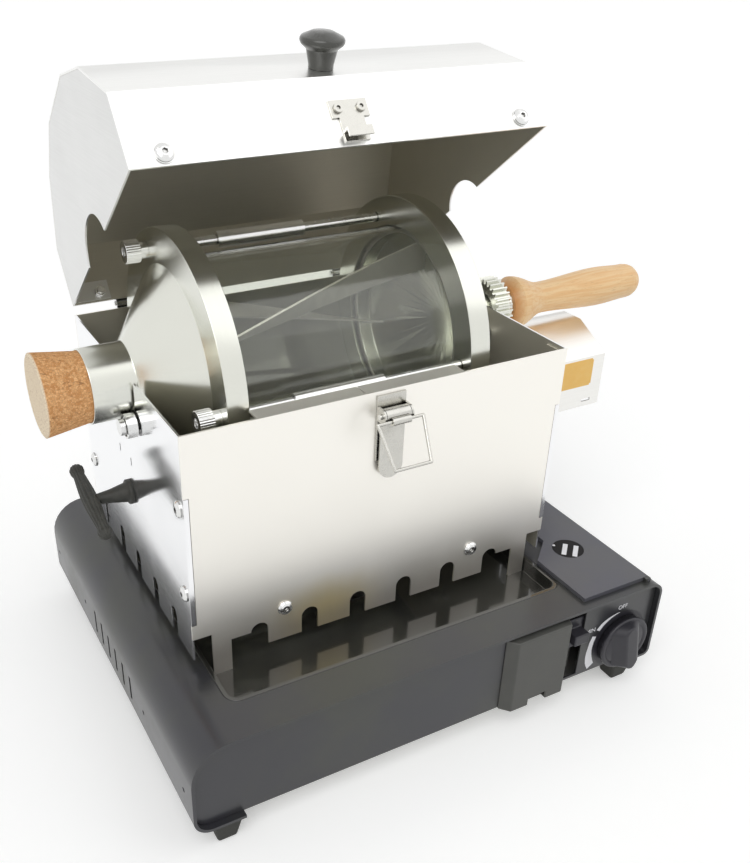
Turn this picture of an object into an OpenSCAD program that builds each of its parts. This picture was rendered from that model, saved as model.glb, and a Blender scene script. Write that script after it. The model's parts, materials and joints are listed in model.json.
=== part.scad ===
// Home coffee bean roaster. A glass drum is turned by a gear motor in a folded
// stainless steel box, and the box stands in the drip pan of a portable gas stove.
// Working frame: X from the stove's left side, Y from its front, Z from the floor.

/* [Stove casing] */
// Width of the stove, left to right
stove_w = 341; // [335:1:420]
// Depth of the stove, front to back
stove_d = 281; // [281:1:350]
// Height of the casing without its feet
stove_h = 63; // [56:1:90]
// Thickness of the pressed casing
stove_wall = 2; // [1.5:0.1:3]
// Radius of the casing's upper left edge
left_edge_r = 24; // [14:1:26]
// Radius of the casing's upper right edge
right_edge_r = 10; // [6:1:12]
// Radius of the casing's lower left edge
lower_edge_r = 12; // [6:1:14]
// Height of the feet
foot_h = 16; // [12:1:24]
// Width of the feet where they meet the casing
foot_w = 18; // [12:1:24]
// How far the front panel lies behind the casing's rim
panel_recess = 4; // [3:0.5:8]
// Thickness of the front panel
panel_t = 1.5; // [1:0.1:3]
// Height of the base pan's sides
base_side_h = 35; // [25:1:40]
// Vent slots in the casing's left side
vent_count = 6; // [3:1:7]

/* [Drip pan] */
// From the stove's left side to the pan's inside
pan_left = 38; // [34:1:50]
// From the stove's front to the pan's inside
pan_front = 30; // [26:1:34]
// Depth of the drip pan
pan_depth = 10; // [6:1:14]
// Inside corner radius of the drip pan
pan_r = 6; // [4:1:20]
// Width of the rim that the pan hangs on
pan_rim = 3; // [2:0.5:4]
// Sheet thickness of the drip pan
pan_t = 1; // [0.8:0.1:1.5]

/* [Burner] */
// Radius of the burner head
burner_r = 46; // [36:1:50]
// Radius of the burner's neck
burner_neck_r = 16; // [12:1:20]
// How far the burner stands above the stove top
burner_rise = 5; // [0:1:12]
// Flame ports round the burner
port_count = 24; // [12:1:36]
// Outside radius of the mixing tube
mix_tube_r = 8; // [6:0.5:9]

/* [Gas controls] */
// From the stove's right side to the control knob's centre
knob_in_x = 29; // [27:1:36]
// Diameter of the control knob
knob_d = 40; // [34:1:44]
// How far the knob's grip stands out of the panel
knob_out = 14; // [12:1:26]
// Diameter of the knob's spindle
spindle_d = 6; // [5:0.5:8]
// Travel of the cartridge lever
lever_travel = 18; // [12:1:20]
// How far the lever's surround stands out of the panel
surround_out = 7; // [4:0.5:10]

/* [Cartridge lid] */
// Rise of the cartridge lid above the stove top
bay_lid_rise = 3; // [2:0.5:5]
// Sheet thickness of the cartridge lid
bay_lid_t = 1.5; // [1:0.1:2]
// Width of the lid beside the roaster
bay_lid_w = 36; // [30:1:40]
// Width of the lid's wider front end
bay_lid_front_w = 55; // [48:1:56]
// Radius of the round window in the lid
window_r = 11; // [8:1:12]

/* [Roaster box] */
// Sheet thickness of the box and its lid
sheet = 1.2; // [0.8:0.1:2]
// Height of the box's top above the stove top
box_h = 155; // [150:1:200]
// From the stove's front to the box
box_front = 64; // [60:1:70]
// How far the drum's axis lies below the box's top
axis_drop = 8; // [4:1:10]
// Gap from the drum's flanges to the front and back plates
flange_gap = 11; // [8:0.5:20]
// Gap from the left plate to the drum's cone
cone_gap = 4; // [4:0.5:12]
// Length from the right flange to the right plate
hub_run = 49.5; // [46:0.5:70]
// Width of the air slots in the front and back plates
air_slot_w = 11.4; // [8:0.2:14]
// Spacing of those air slots
air_slot_pitch = 34; // [28:1:36]
// Width of the folded lip along the front plate's top
top_lip = 11.5; // [6:0.5:14]

/* [Drum] */
// Radius of the drum's two flanges
flange_r = 84; // [78:1:110]
// Thickness of the flanges
flange_t = 13; // [10:0.5:18]
// Outside radius of the glass tube
glass_r = 65; // [58:1:66]
// Wall of the glass tube
glass_t = 3; // [2:0.5:4]
// Length of glass that shows between the flanges
glass_l = 146; // [120:1:200]
// Length of the cone at the filling end
cone_l = 29; // [20:1:40]
// Outside radius of the filling neck
neck_r = 22.5; // [20:0.5:26]
// How far the filling neck stands out of the left plate
neck_out = 22.5; // [20:0.5:26]
// Radius of the hub at the driven end
hub_r = 12; // [10:0.5:14]
// Radius of the tie rods' circle
rod_circle_r = 72.4; // [71:0.2:75]
// Diameter of the tie rods
rod_d = 6; // [4:0.5:7]
// Mixing vanes inside the glass
vane_count = 3; // [2:1:6]
// Depth of the mixing vanes
vane_h = 20; // [12:1:30]

/* [Drum drive] */
// Gear module
gear_module = 1.25; // [1:0.05:1.4]
// Teeth on the drum's gear
gear_teeth = 32; // [28:4:36]
// Teeth on the motor's pinion
pinion_teeth = 12; // [12:4:16]
// Width of the gear's teeth
gear_w = 12; // [8:1:18]
// Radius of the roller bearings
roller_r = 7.5; // [6.5:0.5:11]
// Width of one roller bearing
roller_w = 6; // [4:0.5:7]
// Diameter of the rollers' axles
axle_d = 5; // [4:0.5:6]
// Running gap between a roller and what it carries
roller_gap = 0.3; // [0.2:0.05:0.5]
// Length of the motor's cover
cover_l = 92; // [88:1:120]
// Width of the motor's cover
cover_w = 78; // [76:1:90]

/* [Handles] */
// Length of the wooden handle
wood_l = 123; // [90:1:150]
// Largest radius of the wooden handle
wood_r = 18.5; // [16:0.5:24]
// Length of the side handle's cross bar
bar_l = 65; // [50:1:80]
// How far the side handle stands out of the box
bar_out = 26; // [22:1:60]
// Diameter of the lid knob's cap
lid_knob_d = 25; // [20:1:36]

/* [Lid] */
// Angle that the lid stands open at
lid_angle = 38.9; // [30:0.1:60]
// Gap between the closed lid and the box
lid_gap = 0.5; // [0.3:0.1:1]
// How far the hinge pins lie behind the back plate
hinge_back = 7.5; // [6:0.5:10]
// Room between the drum's flanges and the lid's top
lid_room = 16; // [14:1:30]

/* [Hidden] */
$fn = 64;

// Clearances
fit = 0.3;          // between pieces that are slid together by hand
bore_fit = 0.1;     // on the radius of a running pin or shaft
past = 1;           // how far a cut runs past the face it leaves

// Heights and faces of the stove
stove_top = foot_h + stove_h;
shell_floor = foot_h + stove_wall;
panel_y = panel_recess;
panel_back = panel_recess + panel_t;
foot_in_x = 21.3;
foot_in_y = 10;
foot_taper = 3;     // how far each side of a foot leans in towards the floor
flange_strip = 32;  // width of the casing's turned-in lower edges
lower_right_r = 5;
control_z = foot_h + 22.5;
vent_z = foot_h + 26;
base_t = 1.5;
vent_w = 3;
vent_h = 18;
vent_pitch = 14.7;
vent_y0 = 104;

// Cartridge bay and its lid, laid out from the stove's right side
bay_lid_x1 = stove_w - right_edge_r + 1;
bay_lid_x0 = bay_lid_x1 - bay_lid_w;
bay_lid_front_x0 = bay_lid_x1 - bay_lid_front_w;
bay_lid_y0 = 7;
bay_lid_y1 = stove_d - 13;
bay_step_y0 = box_front - 9;
bay_step_y1 = box_front + 8;
bay_ledge = 4;      // width of casing that the closed lid rests on
bay_hinge_r = bay_lid_rise / 2;     // the lid's hinged edge is round about the hinge
bay_hinge_x = bay_lid_x1 - bay_hinge_r;
bay_hinge_z = stove_top + bay_hinge_r;
trunnion_r = 1;
lug_w = 2.5;
window_x = stove_w - 36;
window_y = 56.5;

// Drip pan
pan_to_right = 68;
pan_to_back = 19;
pan_x1 = stove_w - pan_to_right;
pan_y1 = stove_d - pan_to_back;
pan_cx = (pan_left + pan_x1) / 2;
pan_cy = (pan_front + pan_y1) / 2;
pan_floor = stove_top - pan_depth;
pan_hole_r = burner_r + 10;

// Burner
burner_top = stove_top + burner_rise;
cap_t = 4;
head_h = 12;
neck_wall = 3;
mix_z = control_z;
valve_x = stove_w - knob_in_x;
valve_w = 30;
valve_d = 34;
valve_h = 28;
mix_start = [valve_x - valve_w / 2, panel_back + valve_d - mix_tube_r - 4];
mix_run = [pan_cx - mix_start[0], pan_cy - mix_start[1]];
mix_angle = atan2(mix_run[1], mix_run[0]);
mix_l = norm(mix_run) - burner_neck_r + 4;
divider_x = pan_x1 + pan_t + fit + 3;
divider_t = 1;

// Control knob
knob_neck_r = min(knob_d / 2, control_z - shell_floor) - 1;
knob_disc_t = 2.5;
knob_grip_t = 9;
knob_lean = 10.5;   // degrees that the grip leans towards the off mark
spindle_y0 = panel_y - knob_out + 4;

// Cartridge lever
lever_x = stove_w - 70;
lever_slot_w = 14;
lever_slot_z0 = foot_h + 4;
lever_slot_z1 = stove_top - 7;
lever_tab_h = 8;
lever_rest_z = stove_top - 22;
lever_plate_w = 20;
surround_w = 51;

// Box
box_top = stove_top + box_h;
box_w = cone_gap + cone_l + flange_t + glass_l + flange_t + 1 + hub_run - 0.5;
box_d = 2 * (flange_r + flange_gap);
box_shift = 1;      // the box stands this far right of the pan's middle
box_cx = pan_cx + box_shift;
box_x0 = box_cx - box_w / 2;
box_x1 = box_cx + box_w / 2;
box_back = box_front + box_d;
skirt_z = stove_top + 1;
side_skirt_z = stove_top + 5.5;
leg_out = min((pan_x1 - pan_left) / 2 - box_shift - 1, box_w / 2 - 12);
leg_w = 12;
leg_in = leg_out - leg_w;
corner_z = stove_top + 21;
air_slot_count = 6;
air_slot_top = stove_top + 18.3;
wide_notch_in = (air_slot_count - 1) / 2 * air_slot_pitch + air_slot_w / 2;
wide_notch_top = stove_top + 13;
side_slot_count = 5;
side_slot_w = 9;
side_slot_pitch = 33;
side_slot_top = stove_top + 24.5;
side_slot_shift = 1.5;
wrap = 3;           // width of the side plates' folded front and back edges
wrap_z0 = stove_top + 31;
wrap_z1 = stove_top + 117;
corner_flange = 17; // depth of the folds that join the plates at the corners
plate_screw_z = [stove_top + 50, stove_top + 107];
plate_screw_in = 8;
front_screw_dx = 68;
front_screw_z = stove_top + 24;
screw_r = 2;
screw_head_r = 4.9;
screw_head_h = 2.2;
socket_r = 1.7;
nut_r = 3.6;
nut_h = 2.5;
top_lip_x0 = box_x0 + 44.5;
top_lip_x1 = box_x0 + 178.5;
top_lip_slit = box_x0 + 111.5;

// Drum, along X
axis_y = box_front + box_d / 2 + 2;
axis_z = box_top - axis_drop;
cone_x = box_x0 + cone_gap;
left_flange_x = cone_x + cone_l;
glass_x0 = left_flange_x + flange_t;
glass_x1 = glass_x0 + glass_l;
right_flange_x1 = glass_x1 + flange_t + 1;
neck_x = box_x0 - neck_out;
neck_wall_t = 1.2;
glass_seat = 3.5;   // how deep the glass enters each flange
seal_t = 1;
cone_r = glass_r - 2;
drum_bore = glass_r - 5;
hub_cone_l = 22;
hub_end = box_x1 + 4;
gear_x0 = box_x1 + 5.5;
gear_x1 = gear_x0 + gear_w;
gear_seat_r = hub_r - 3;
shank_r = 5;
ferrule_r = 12;
ferrule_x1 = gear_x1 + 8;
cork_x0 = neck_x - 27;
cork_in = 15;
cork_r = neck_r + 2.5;
cork_taper = (cork_r - (neck_r - neck_wall_t) + bore_fit) / (neck_x - cork_x0);
nut_head_r = 7;
nut_head_l = 9;
nut_collar_r = 5;
nut_collar_l = 5;
rod_angles = [180, 63, -57];
rod_head_h = 4;
sleeve_r = 5;
sleeve_x0 = glass_x0 + 32;
sleeve_x1 = glass_x0 + 91;
wood_x0 = ferrule_x1;
wood_x1 = wood_x0 + wood_l;

// Gears and rollers
gear_r = gear_module * gear_teeth / 2;
pinion_r = gear_module * pinion_teeth / 2;
pinion_z = axis_z - gear_r - pinion_r;
left_roller_run = neck_r + roller_gap + roller_r;
right_roller_run = hub_r + roller_gap + roller_r;
roller_dir = [217, 323];
roller_spacer = 1;
left_roller_x0 = box_x0 - roller_spacer - roller_w;
right_roller_x0 = box_x1 - sheet - roller_spacer - roller_w;
neck_notch_r = neck_r + 3;      // in the left plate, where it clears the axle holes
hub_notch_r = hub_r + 2.5;
lid_neck_notch_r = neck_r + 5.5;
lid_hub_notch_r = hub_r + 8;

// Motor and its cover
cover_x1 = box_x1 + cover_l;
cover_t = 1;
cover_z0 = axis_z - 75;
cover_shoulder_z = axis_z - 35;
cover_top_z = axis_z - 19.5;
cover_top_half = 9;
gearbox_x0 = gear_x1 + 2;
gearbox_l = 22;
gearbox_r = 20;
gearbox_z = pinion_z - 23;
can_r = 18;
can_l = 42;
shaft_r = 3;
boss_r = 6;
standoff_r = 4;
standoff_places = [[-15, -5.5], [15, -5.5], [0, -16]];
cover_tab = 12;
cover_tab_z = cover_z0 + 20;
switch_y = axis_y - 28;
switch_z = cover_z0 + 22;
inlet_y = axis_y + 28;
inlet_z = cover_z0 + 20;

// Side handle
bar_y = box_front + 98;
bar_z = stove_top + 69.4;
bar_tilt = 14.3;
bar_x = box_x0 - bar_out;
bar_r = 5.3;        // at the middle of the cross bar

// Latch
latch_x = box_cx;
latch_half = 9.5;
latch_pin_y = box_front - 6;
latch_pin_z = box_top - 13;
latch_pin_r = 1.5;
latch_tip_z = box_top - 56;
bail_y = latch_pin_y - 5.5;
bail_z = latch_pin_z - 1.5;
ear_r = 4.4;
bail_wire_r = 1;
bail_drop = 27;
bail_top_half = 15;
bail_low_half = 12;
bail_tilt = 35;

// Lid, in its closed place
lid_rim = box_top + lid_gap;
lid_top = lid_rim + flange_r + lid_room - axis_drop;
lid_mid = lid_top - 17;
lid_shoulder = lid_top - 51.5;
lid_mid_in = 34;
lid_top_in = 69;
lid_profile = [[box_front, lid_rim], [box_front, lid_shoulder],
    [box_front + lid_mid_in, lid_mid], [box_front + lid_top_in, lid_top],
    [box_back - lid_top_in, lid_top], [box_back - lid_mid_in, lid_mid],
    [box_back, lid_shoulder], [box_back, lid_rim]];
hinge_y = box_back + hinge_back;
hinge_z = box_top + lid_gap;
hinge_dx = 82;
hinge_half = 15;
knuckle_half = 5;
knuckle_r = 3;
hinge_pin_r = 1.5;
facet_angle = atan2(lid_mid - lid_shoulder, lid_mid_in);
lid_knob_x = box_cx - 2;
lid_knob_in = 11;
lid_knob_y = box_front + lid_knob_in;
lid_knob_z = lid_shoulder + lid_knob_in * tan(facet_angle);
lid_knob_h = 19.5;
lid_screw_x = [box_cx - 108, box_cx + 110];
lid_screw_z = lid_rim + 6.5;
lid_tab = 26;
washer_r = 5.5;
washer_t = 0.8;

// The origin is under the middle of the whole object
function opened_y(p) = hinge_y + (p[0] - hinge_y) * cos(lid_angle) + (p[1] - hinge_z) * sin(lid_angle);
x_min = min(cork_x0, bar_x - bar_r);
x_max = wood_x1;
y_min = panel_y - knob_out;
y_max = max(concat([stove_d], [for (p = lid_profile) opened_y(p)]));
mid_x = (x_min + x_max) / 2;
mid_y = (y_min + y_max) / 2;

// ---------------------------------------------------------------- shapes

function arc(cx, cy, r, a0, a1, steps = 8) =
    [for (i = [0:steps]) let (a = a0 + (a1 - a0) * i / steps) [cx + r * cos(a), cy + r * sin(a)]];

function rounded(x0, x1, y0, y1, r) = concat(
    arc(x1 - r, y0 + r, r, -90, 0), arc(x1 - r, y1 - r, r, 0, 90),
    arc(x0 + r, y1 - r, r, 90, 180), arc(x0 + r, y0 + r, r, 180, 270));

// The casing's outline seen from the front, drawn in by side and raised by low
function casing(side, low) = let (x0 = side, x1 = stove_w - side, z0 = foot_h + low, z1 = stove_top - side,
    rb = lower_edge_r - side, rr = right_edge_r - side, rl = left_edge_r - side,
    rc = lower_right_r - side) concat(arc(x1 - rc, z0 + rc, rc, -90, 0),
    arc(x1 - rr, z1 - rr, rr, 0, 90),
    arc(x0 + rl, z1 - rl, rl, 90, 180), arc(x0 + rb, z0 + rb, rb, 180, 270));

// One corner of a folded sheet's path, moved in by the sheet's thickness
function folded_corner(a, p, b, t) = let (a1 = atan2(p[1] - a[1], p[0] - a[0]),
    a2 = atan2(b[1] - p[1], b[0] - p[0]), back = t * tan((a1 - a2) / 2))
    [p[0] + t * sin(a1) - back * cos(a1), p[1] - t * cos(a1) - back * sin(a1)];

// The inside of a folded sheet that starts and ends upright
function inside(path, t) = let (last = len(path) - 1)
    [for (i = [0:last]) i == 0 ? path[0] + [t, 0] : i == last ? path[last] - [t, 0]
        : folded_corner(path[i - 1], path[i], path[i + 1], t)];

// Straight-sided gear teeth, as shares of the pitch
function teeth(count, m) = let (r = m * count / 2, pitch = 360 / count)
    [for (i = [0:count - 1], e = [[-0.33, -1.25], [-0.12, 1], [0.12, 1], [0.33, -1.25]])
        let (a = (i + e[0]) * pitch, q = r + e[1] * m) [q * cos(a), q * sin(a)]];

module slab(x0, x1, y0, y1, z0, z1) translate([x0, y0, z0]) cube([x1 - x0, y1 - y0, z1 - z0]);
module rod_x(r, x0, x1, y, z) translate([x0, y, z]) rotate([0, 90, 0]) cylinder(r = r, h = x1 - x0);
module rod_y(r, y0, y1, x, z) translate([x, y1, z]) rotate([90, 0, 0]) cylinder(r = r, h = y1 - y0);
module along_y(points, y0, y1)
    translate([0, y1, 0]) rotate([90, 0, 0]) linear_extrude(y1 - y0) polygon(points);
module along_x(points, x0, x1)
    translate([x0, 0, 0]) rotate([90, 0, 90]) linear_extrude(x1 - x0) polygon(points);
module along_z(points, z0, z1) translate([0, 0, z0]) linear_extrude(z1 - z0) polygon(points);

// Turned about the line through y, z along X, from points of radius and X
module turned(points, y, z) translate([0, y, z]) rotate([0, 90, 0]) rotate_extrude($fn = 96) polygon(points);
module placed() translate([-mid_x, -mid_y, 0]) children();
module opened() translate([0, hinge_y, hinge_z]) rotate([-lid_angle, 0, 0])
    translate([0, -hinge_y, -hinge_z]) children();

// A domed screw head that stands out along -X from the face it holds, with a hexagon socket
module screw_head() rotate([0, -90, 0]) difference() {
    rotate_extrude() polygon([[0, 0], [screw_head_r, 0], [screw_head_r, 0.7],
        [screw_head_r * 0.82, screw_head_h * 0.75], [screw_head_r * 0.5, screw_head_h], [0, screw_head_h]]);
    translate([0, 0, screw_head_h / 2]) cylinder(r = socket_r, h = screw_head_h, $fn = 6);
}

// A screw along +X from its outer face, through grip mm of sheet, with its nut
module screw(grip) {
    screw_head();
    rod_x(screw_r, 0, grip + nut_h + 1, 0, 0);
    translate([grip, 0, 0]) rotate([0, 90, 0]) cylinder(r = nut_r, h = nut_h, $fn = 6);
}

// ---------------------------------------------------------------- stove

module stove_shell() color("dimgray") placed() {
    difference() {
        along_y(casing(0, 0), 0, stove_d);
        along_y(casing(stove_wall, stove_wall), -past, stove_d - stove_wall);
        slab(flange_strip, stove_w - flange_strip, -past, stove_d - stove_wall, foot_h - past,
            shell_floor + past);
        pan_hole();
        bay_hole();
        vents(-past, stove_wall + past);
        for (y = [13.5, 81, 204, 272]) rod_x(1.6, -past, stove_wall + past, y, vent_z);
    }
    for (y = [bay_lid_y0 - fit - lug_w, bay_lid_y1 + fit]) difference() {
        slab(bay_lid_x1 - 4, bay_lid_x1, y, y + lug_w, stove_top, stove_top + bay_lid_rise);
        rod_y(trunnion_r + bore_fit, y - past, y + lug_w + past, bay_hinge_x, bay_hinge_z);
    }
}

module pan_hole() {
    rim = pan_rim + fit;
    edge = pan_t + fit;
    along_z(rounded(pan_left - rim, pan_x1 + rim, pan_front - rim, pan_y1 + rim, pan_r + rim),
        stove_top - pan_t, stove_top + past);
    along_z(rounded(pan_left - edge, pan_x1 + edge, pan_front - edge, pan_y1 + edge, pan_r + edge),
        stove_top - stove_wall - past, stove_top);
}

module bay_hole() {
    slab(bay_lid_x0 + bay_ledge, bay_lid_x1 - bay_ledge, bay_step_y1, bay_lid_y1 - bay_ledge,
        stove_top - stove_wall - past, stove_top + past);
}

module vents(x0, x1) {
    for (i = [0:vent_count - 1])
        slab(x0, x1, vent_y0 + i * vent_pitch, vent_y0 + i * vent_pitch + vent_w,
            vent_z - vent_h / 2, vent_z + vent_h / 2);
}

module base_pan() color("gray") placed() difference() {
    along_y(casing(stove_wall + fit, stove_wall), panel_back + fit, stove_d - stove_wall - fit);
    along_y(casing(stove_wall + fit + base_t, stove_wall + base_t), 0, stove_d);
    slab(-past, stove_w + past, 0, stove_d, shell_floor + base_side_h, stove_top + past);
    slab(0, stove_wall + fit + base_t + past, vent_y0 - 4, vent_y0 + vent_count * vent_pitch,
        vent_z - vent_h / 2 - 3, stove_top);
}

module front_panel() color("dimgray") placed() difference() {
    along_y(casing(stove_wall + fit, stove_wall), panel_y, panel_back);
    rod_y(spindle_d / 2 + 1, 0, panel_back + past, valve_x, control_z);
    slab(lever_x - lever_slot_w / 2, lever_x + lever_slot_w / 2, 0, panel_back + past,
        lever_slot_z0, lever_slot_z1);
}

module stove_feet() color("black") placed()
    for (x = [foot_in_x, stove_w - foot_in_x], y = [foot_in_y, stove_d - foot_in_y]) intersection() {
        along_y(foot_side(x), y - foot_w, y + foot_w);
        along_x(foot_side(y), x - foot_w, x + foot_w);
    }

function foot_side(c) = [[c - foot_w / 2 + foot_taper, 0], [c + foot_w / 2 - foot_taper, 0],
    [c + foot_w / 2, foot_h], [c - foot_w / 2, foot_h]];

module drip_pan() color("black") placed() difference() {
    union() {
        along_z(rounded(pan_left - pan_t, pan_x1 + pan_t, pan_front - pan_t, pan_y1 + pan_t, pan_r + pan_t),
            pan_floor - pan_t, stove_top);
        along_z(rounded(pan_left - pan_rim, pan_x1 + pan_rim, pan_front - pan_rim, pan_y1 + pan_rim,
            pan_r + pan_rim), stove_top - pan_t, stove_top);
    }
    along_z(rounded(pan_left, pan_x1, pan_front, pan_y1, pan_r), pan_floor, stove_top + past);
    translate([pan_cx, pan_cy, pan_floor - pan_t - past]) cylinder(r = pan_hole_r, h = pan_t + 2 * past);
}

module burner_head() color("lightgray") placed() translate([pan_cx, pan_cy, 0]) {
    base = shell_floor + base_t;
    head_z = burner_top - cap_t - head_h;
    flare = 10;
    difference() {
        rotate_extrude() polygon([[0, base], [burner_neck_r, base], [burner_neck_r, head_z - flare],
            [burner_r, head_z], [burner_r, head_z + head_h], [burner_r - 6, head_z + head_h],
            [burner_r - 6, head_z + 1], [burner_neck_r - neck_wall, head_z - flare + 2],
            [burner_neck_r - neck_wall, base + 4], [0, base + 4]]);
        translate([0, 0, mix_z]) rotate([0, -90, mix_angle])
            cylinder(r = mix_tube_r + fit / 2, h = burner_neck_r + past);
        for (i = [0:port_count - 1]) rotate([0, 0, i * 360 / port_count])
            translate([burner_r - 7, -1, head_z + head_h - 4]) cube([8, 2, 4 + past]);
    }
}

module burner_cap() color("goldenrod") placed() translate([pan_cx, pan_cy, burner_top - cap_t])
    rotate_extrude() polygon([[0, 0], [burner_r - 1, 0], [burner_r - 1, 2], [burner_r - 4, cap_t],
        [12, cap_t], [10, cap_t - 1], [0, cap_t - 1]]);

module igniter() color("white") placed() translate([pan_cx, pan_cy, 0]) {
    place = burner_r + 5;
    difference() {
        slab(burner_neck_r - 2, place + 3, -3, 3, mix_z + 10, mix_z + 12);
        cylinder(r = burner_neck_r, h = stove_top);
    }
    translate([place, 0, mix_z + 12]) cylinder(r = 2.5, h = burner_top - 8 - mix_z - 12);
    translate([place, 0, burner_top - 8]) cylinder(r = 0.8, h = 4);
}

module mixing_tube() color("silver") placed() translate([mix_start[0], mix_start[1], mix_z])
    rotate([0, 90, mix_angle]) difference() {
        cylinder(r = mix_tube_r, h = mix_l);
        translate([0, 0, -past]) cylinder(r = mix_tube_r - 1.5, h = mix_l + 2 * past);
        translate([-mix_tube_r - past, -mix_tube_r, -past]) cube([mix_tube_r - 1, 2 * mix_tube_r, 12]);
    }

module gas_valve() color("darkkhaki") placed() difference() {
    union() {
        slab(valve_x - valve_w / 2, valve_x + valve_w / 2, panel_back, panel_back + valve_d,
            control_z - valve_h / 2, control_z + valve_h / 2);
        rod_y(13, panel_back + valve_d, panel_back + valve_d + 12, valve_x, control_z);
        slab(valve_x - valve_w / 2, valve_x + valve_w / 2, panel_back + 4, panel_back + 10,
            shell_floor + base_t, control_z);
    }
    rod_y(spindle_d / 2 + bore_fit, -past, panel_back + 20, valve_x, control_z);
    rod_y(8, panel_back + valve_d, panel_back + valve_d + 12 + past, valve_x, control_z);
    translate([mix_start[0], mix_start[1], mix_z]) rotate([0, 90, mix_angle])
        cylinder(r = mix_tube_r + fit / 2, h = 40);
}

module bay_divider() color("silver") placed() difference() {
    slab(divider_x, divider_x + divider_t, panel_back + 8, stove_d - stove_wall - 4,
        shell_floor + base_t, stove_top - stove_wall - 1);
    translate([mix_start[0], mix_start[1], mix_z]) rotate([0, 90, mix_angle])
        translate([0, 0, -20]) cylinder(r = mix_tube_r + 1, h = 100);
}

module lever_surround() color("dimgray") placed() {
    x1 = lever_x - lever_slot_w / 2 - 1;
    x0 = x1 - surround_w;
    y0 = panel_y - surround_out;
    difference() {
        along_z([[x0, panel_y], [x0 + 6, y0], [x1 - 3, y0], [x1, panel_y]], foot_h + 1, stove_top - 5);
        along_z([[x0 + 3, panel_y + past], [x0 + 8, y0 + 2], [x1 - 5, y0 + 2], [x1 - 3, panel_y + past]],
            foot_h + 3, stove_top - 7);
        slab(x0 + 20, x0 + 34, y0 - past, y0 + 4, foot_h, foot_h + 7);
    }
}

module cartridge_lever() color("black") placed() {
    half = lever_slot_w / 2 - 1;
    slab(lever_x - half, lever_x + half, panel_y - surround_out, panel_back + fit,
        lever_rest_z - lever_tab_h / 2, lever_rest_z + lever_tab_h / 2);
    slab(lever_x - lever_plate_w / 2, lever_x + lever_plate_w / 2, panel_back + fit, panel_back + fit + 2,
        lever_rest_z - 13, lever_rest_z + 11);
}

module control_knob() color("black") placed() difference() {
    union() {
        rod_y(knob_neck_r, -1, panel_y - 1, valve_x, control_z);
        rod_y(knob_d / 2, -0.5 - knob_disc_t, -0.5, valve_x, control_z);
        intersection() {
            translate([valve_x, 0, control_z]) rotate([0, -knob_lean, 0])
                slab(-knob_grip_t / 2, knob_grip_t / 2, panel_y - knob_out, -1, -knob_d, knob_d);
            rod_y(knob_d / 2 - 0.1, panel_y - knob_out, -1, valve_x, control_z);
        }
    }
    rod_y(spindle_d / 2 + 0.03, spindle_y0, panel_y, valve_x, control_z);
}

module knob_spindle() color("silver") placed()
    rod_y(spindle_d / 2, spindle_y0, panel_back + 19, valve_x, control_z);

function bay_lid_outline(t) = [[bay_lid_front_x0 + t, bay_lid_y0 + t], [bay_lid_x1 - t, bay_lid_y0 + t],
    [bay_lid_x1 - t, bay_lid_y1 - t], [bay_lid_x0 + t, bay_lid_y1 - t],
    [bay_lid_x0 + t, bay_step_y1 - t / 2], [bay_lid_front_x0 + t, bay_step_y0 - t / 2]];

module cartridge_lid() color("dimgray") placed() {
    difference() {
        along_z(bay_lid_outline(0), stove_top, stove_top + bay_lid_rise);
        along_z(bay_lid_outline(bay_lid_t), stove_top - past, stove_top + bay_lid_rise - bay_lid_t);
        translate([window_x, window_y, stove_top]) cylinder(r = window_r - 2, h = bay_lid_rise + past);
        translate([window_x, window_y, stove_top + bay_lid_rise - 0.8]) cylinder(r = window_r, h = past + 1);
        difference() {
            slab(bay_hinge_x, bay_lid_x1 + past, bay_lid_y0 - past, bay_lid_y1 + past,
                stove_top - past, bay_hinge_z);
            rod_y(bay_hinge_r, bay_lid_y0 - 2 * past, bay_lid_y1 + 2 * past, bay_hinge_x, bay_hinge_z);
        }
    }
    for (y = [bay_lid_y0 - fit - lug_w, bay_lid_y1 - 1])
        rod_y(trunnion_r, y, y + lug_w + fit + 1, bay_hinge_x, bay_hinge_z);
}

module lid_window() color("black") placed()
    translate([window_x, window_y, stove_top + bay_lid_rise - 0.8])
        cylinder(r = window_r - bore_fit, h = 0.7);

// ---------------------------------------------------------------- roaster box

// The air slots, notches and legs along the bottom of the front and back plates
module skirt_cuts(y0, y1) {
    slab(box_cx - leg_in, box_cx + leg_in, y0, y1, pan_floor - past, skirt_z);
    for (s = [-1, 1]) {
        outer = box_cx + s * (box_w / 2 + past);
        notch = box_cx + s * wide_notch_in;
        slab(min(box_cx + s * leg_out, outer), max(box_cx + s * leg_out, outer), y0, y1,
            pan_floor - past, corner_z);
        slab(min(notch, box_cx + s * leg_in), max(notch, box_cx + s * leg_in), y0, y1,
            pan_floor - past, wide_notch_top);
    }
    for (i = [0:air_slot_count - 1]) {
        x = box_cx + (i - (air_slot_count - 1) / 2) * air_slot_pitch;
        slab(x - air_slot_w / 2, x + air_slot_w / 2, y0, y1, pan_floor - past, air_slot_top - air_slot_w / 2);
        rod_y(air_slot_w / 2, y0, y1, x, air_slot_top - air_slot_w / 2);
    }
}

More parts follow.
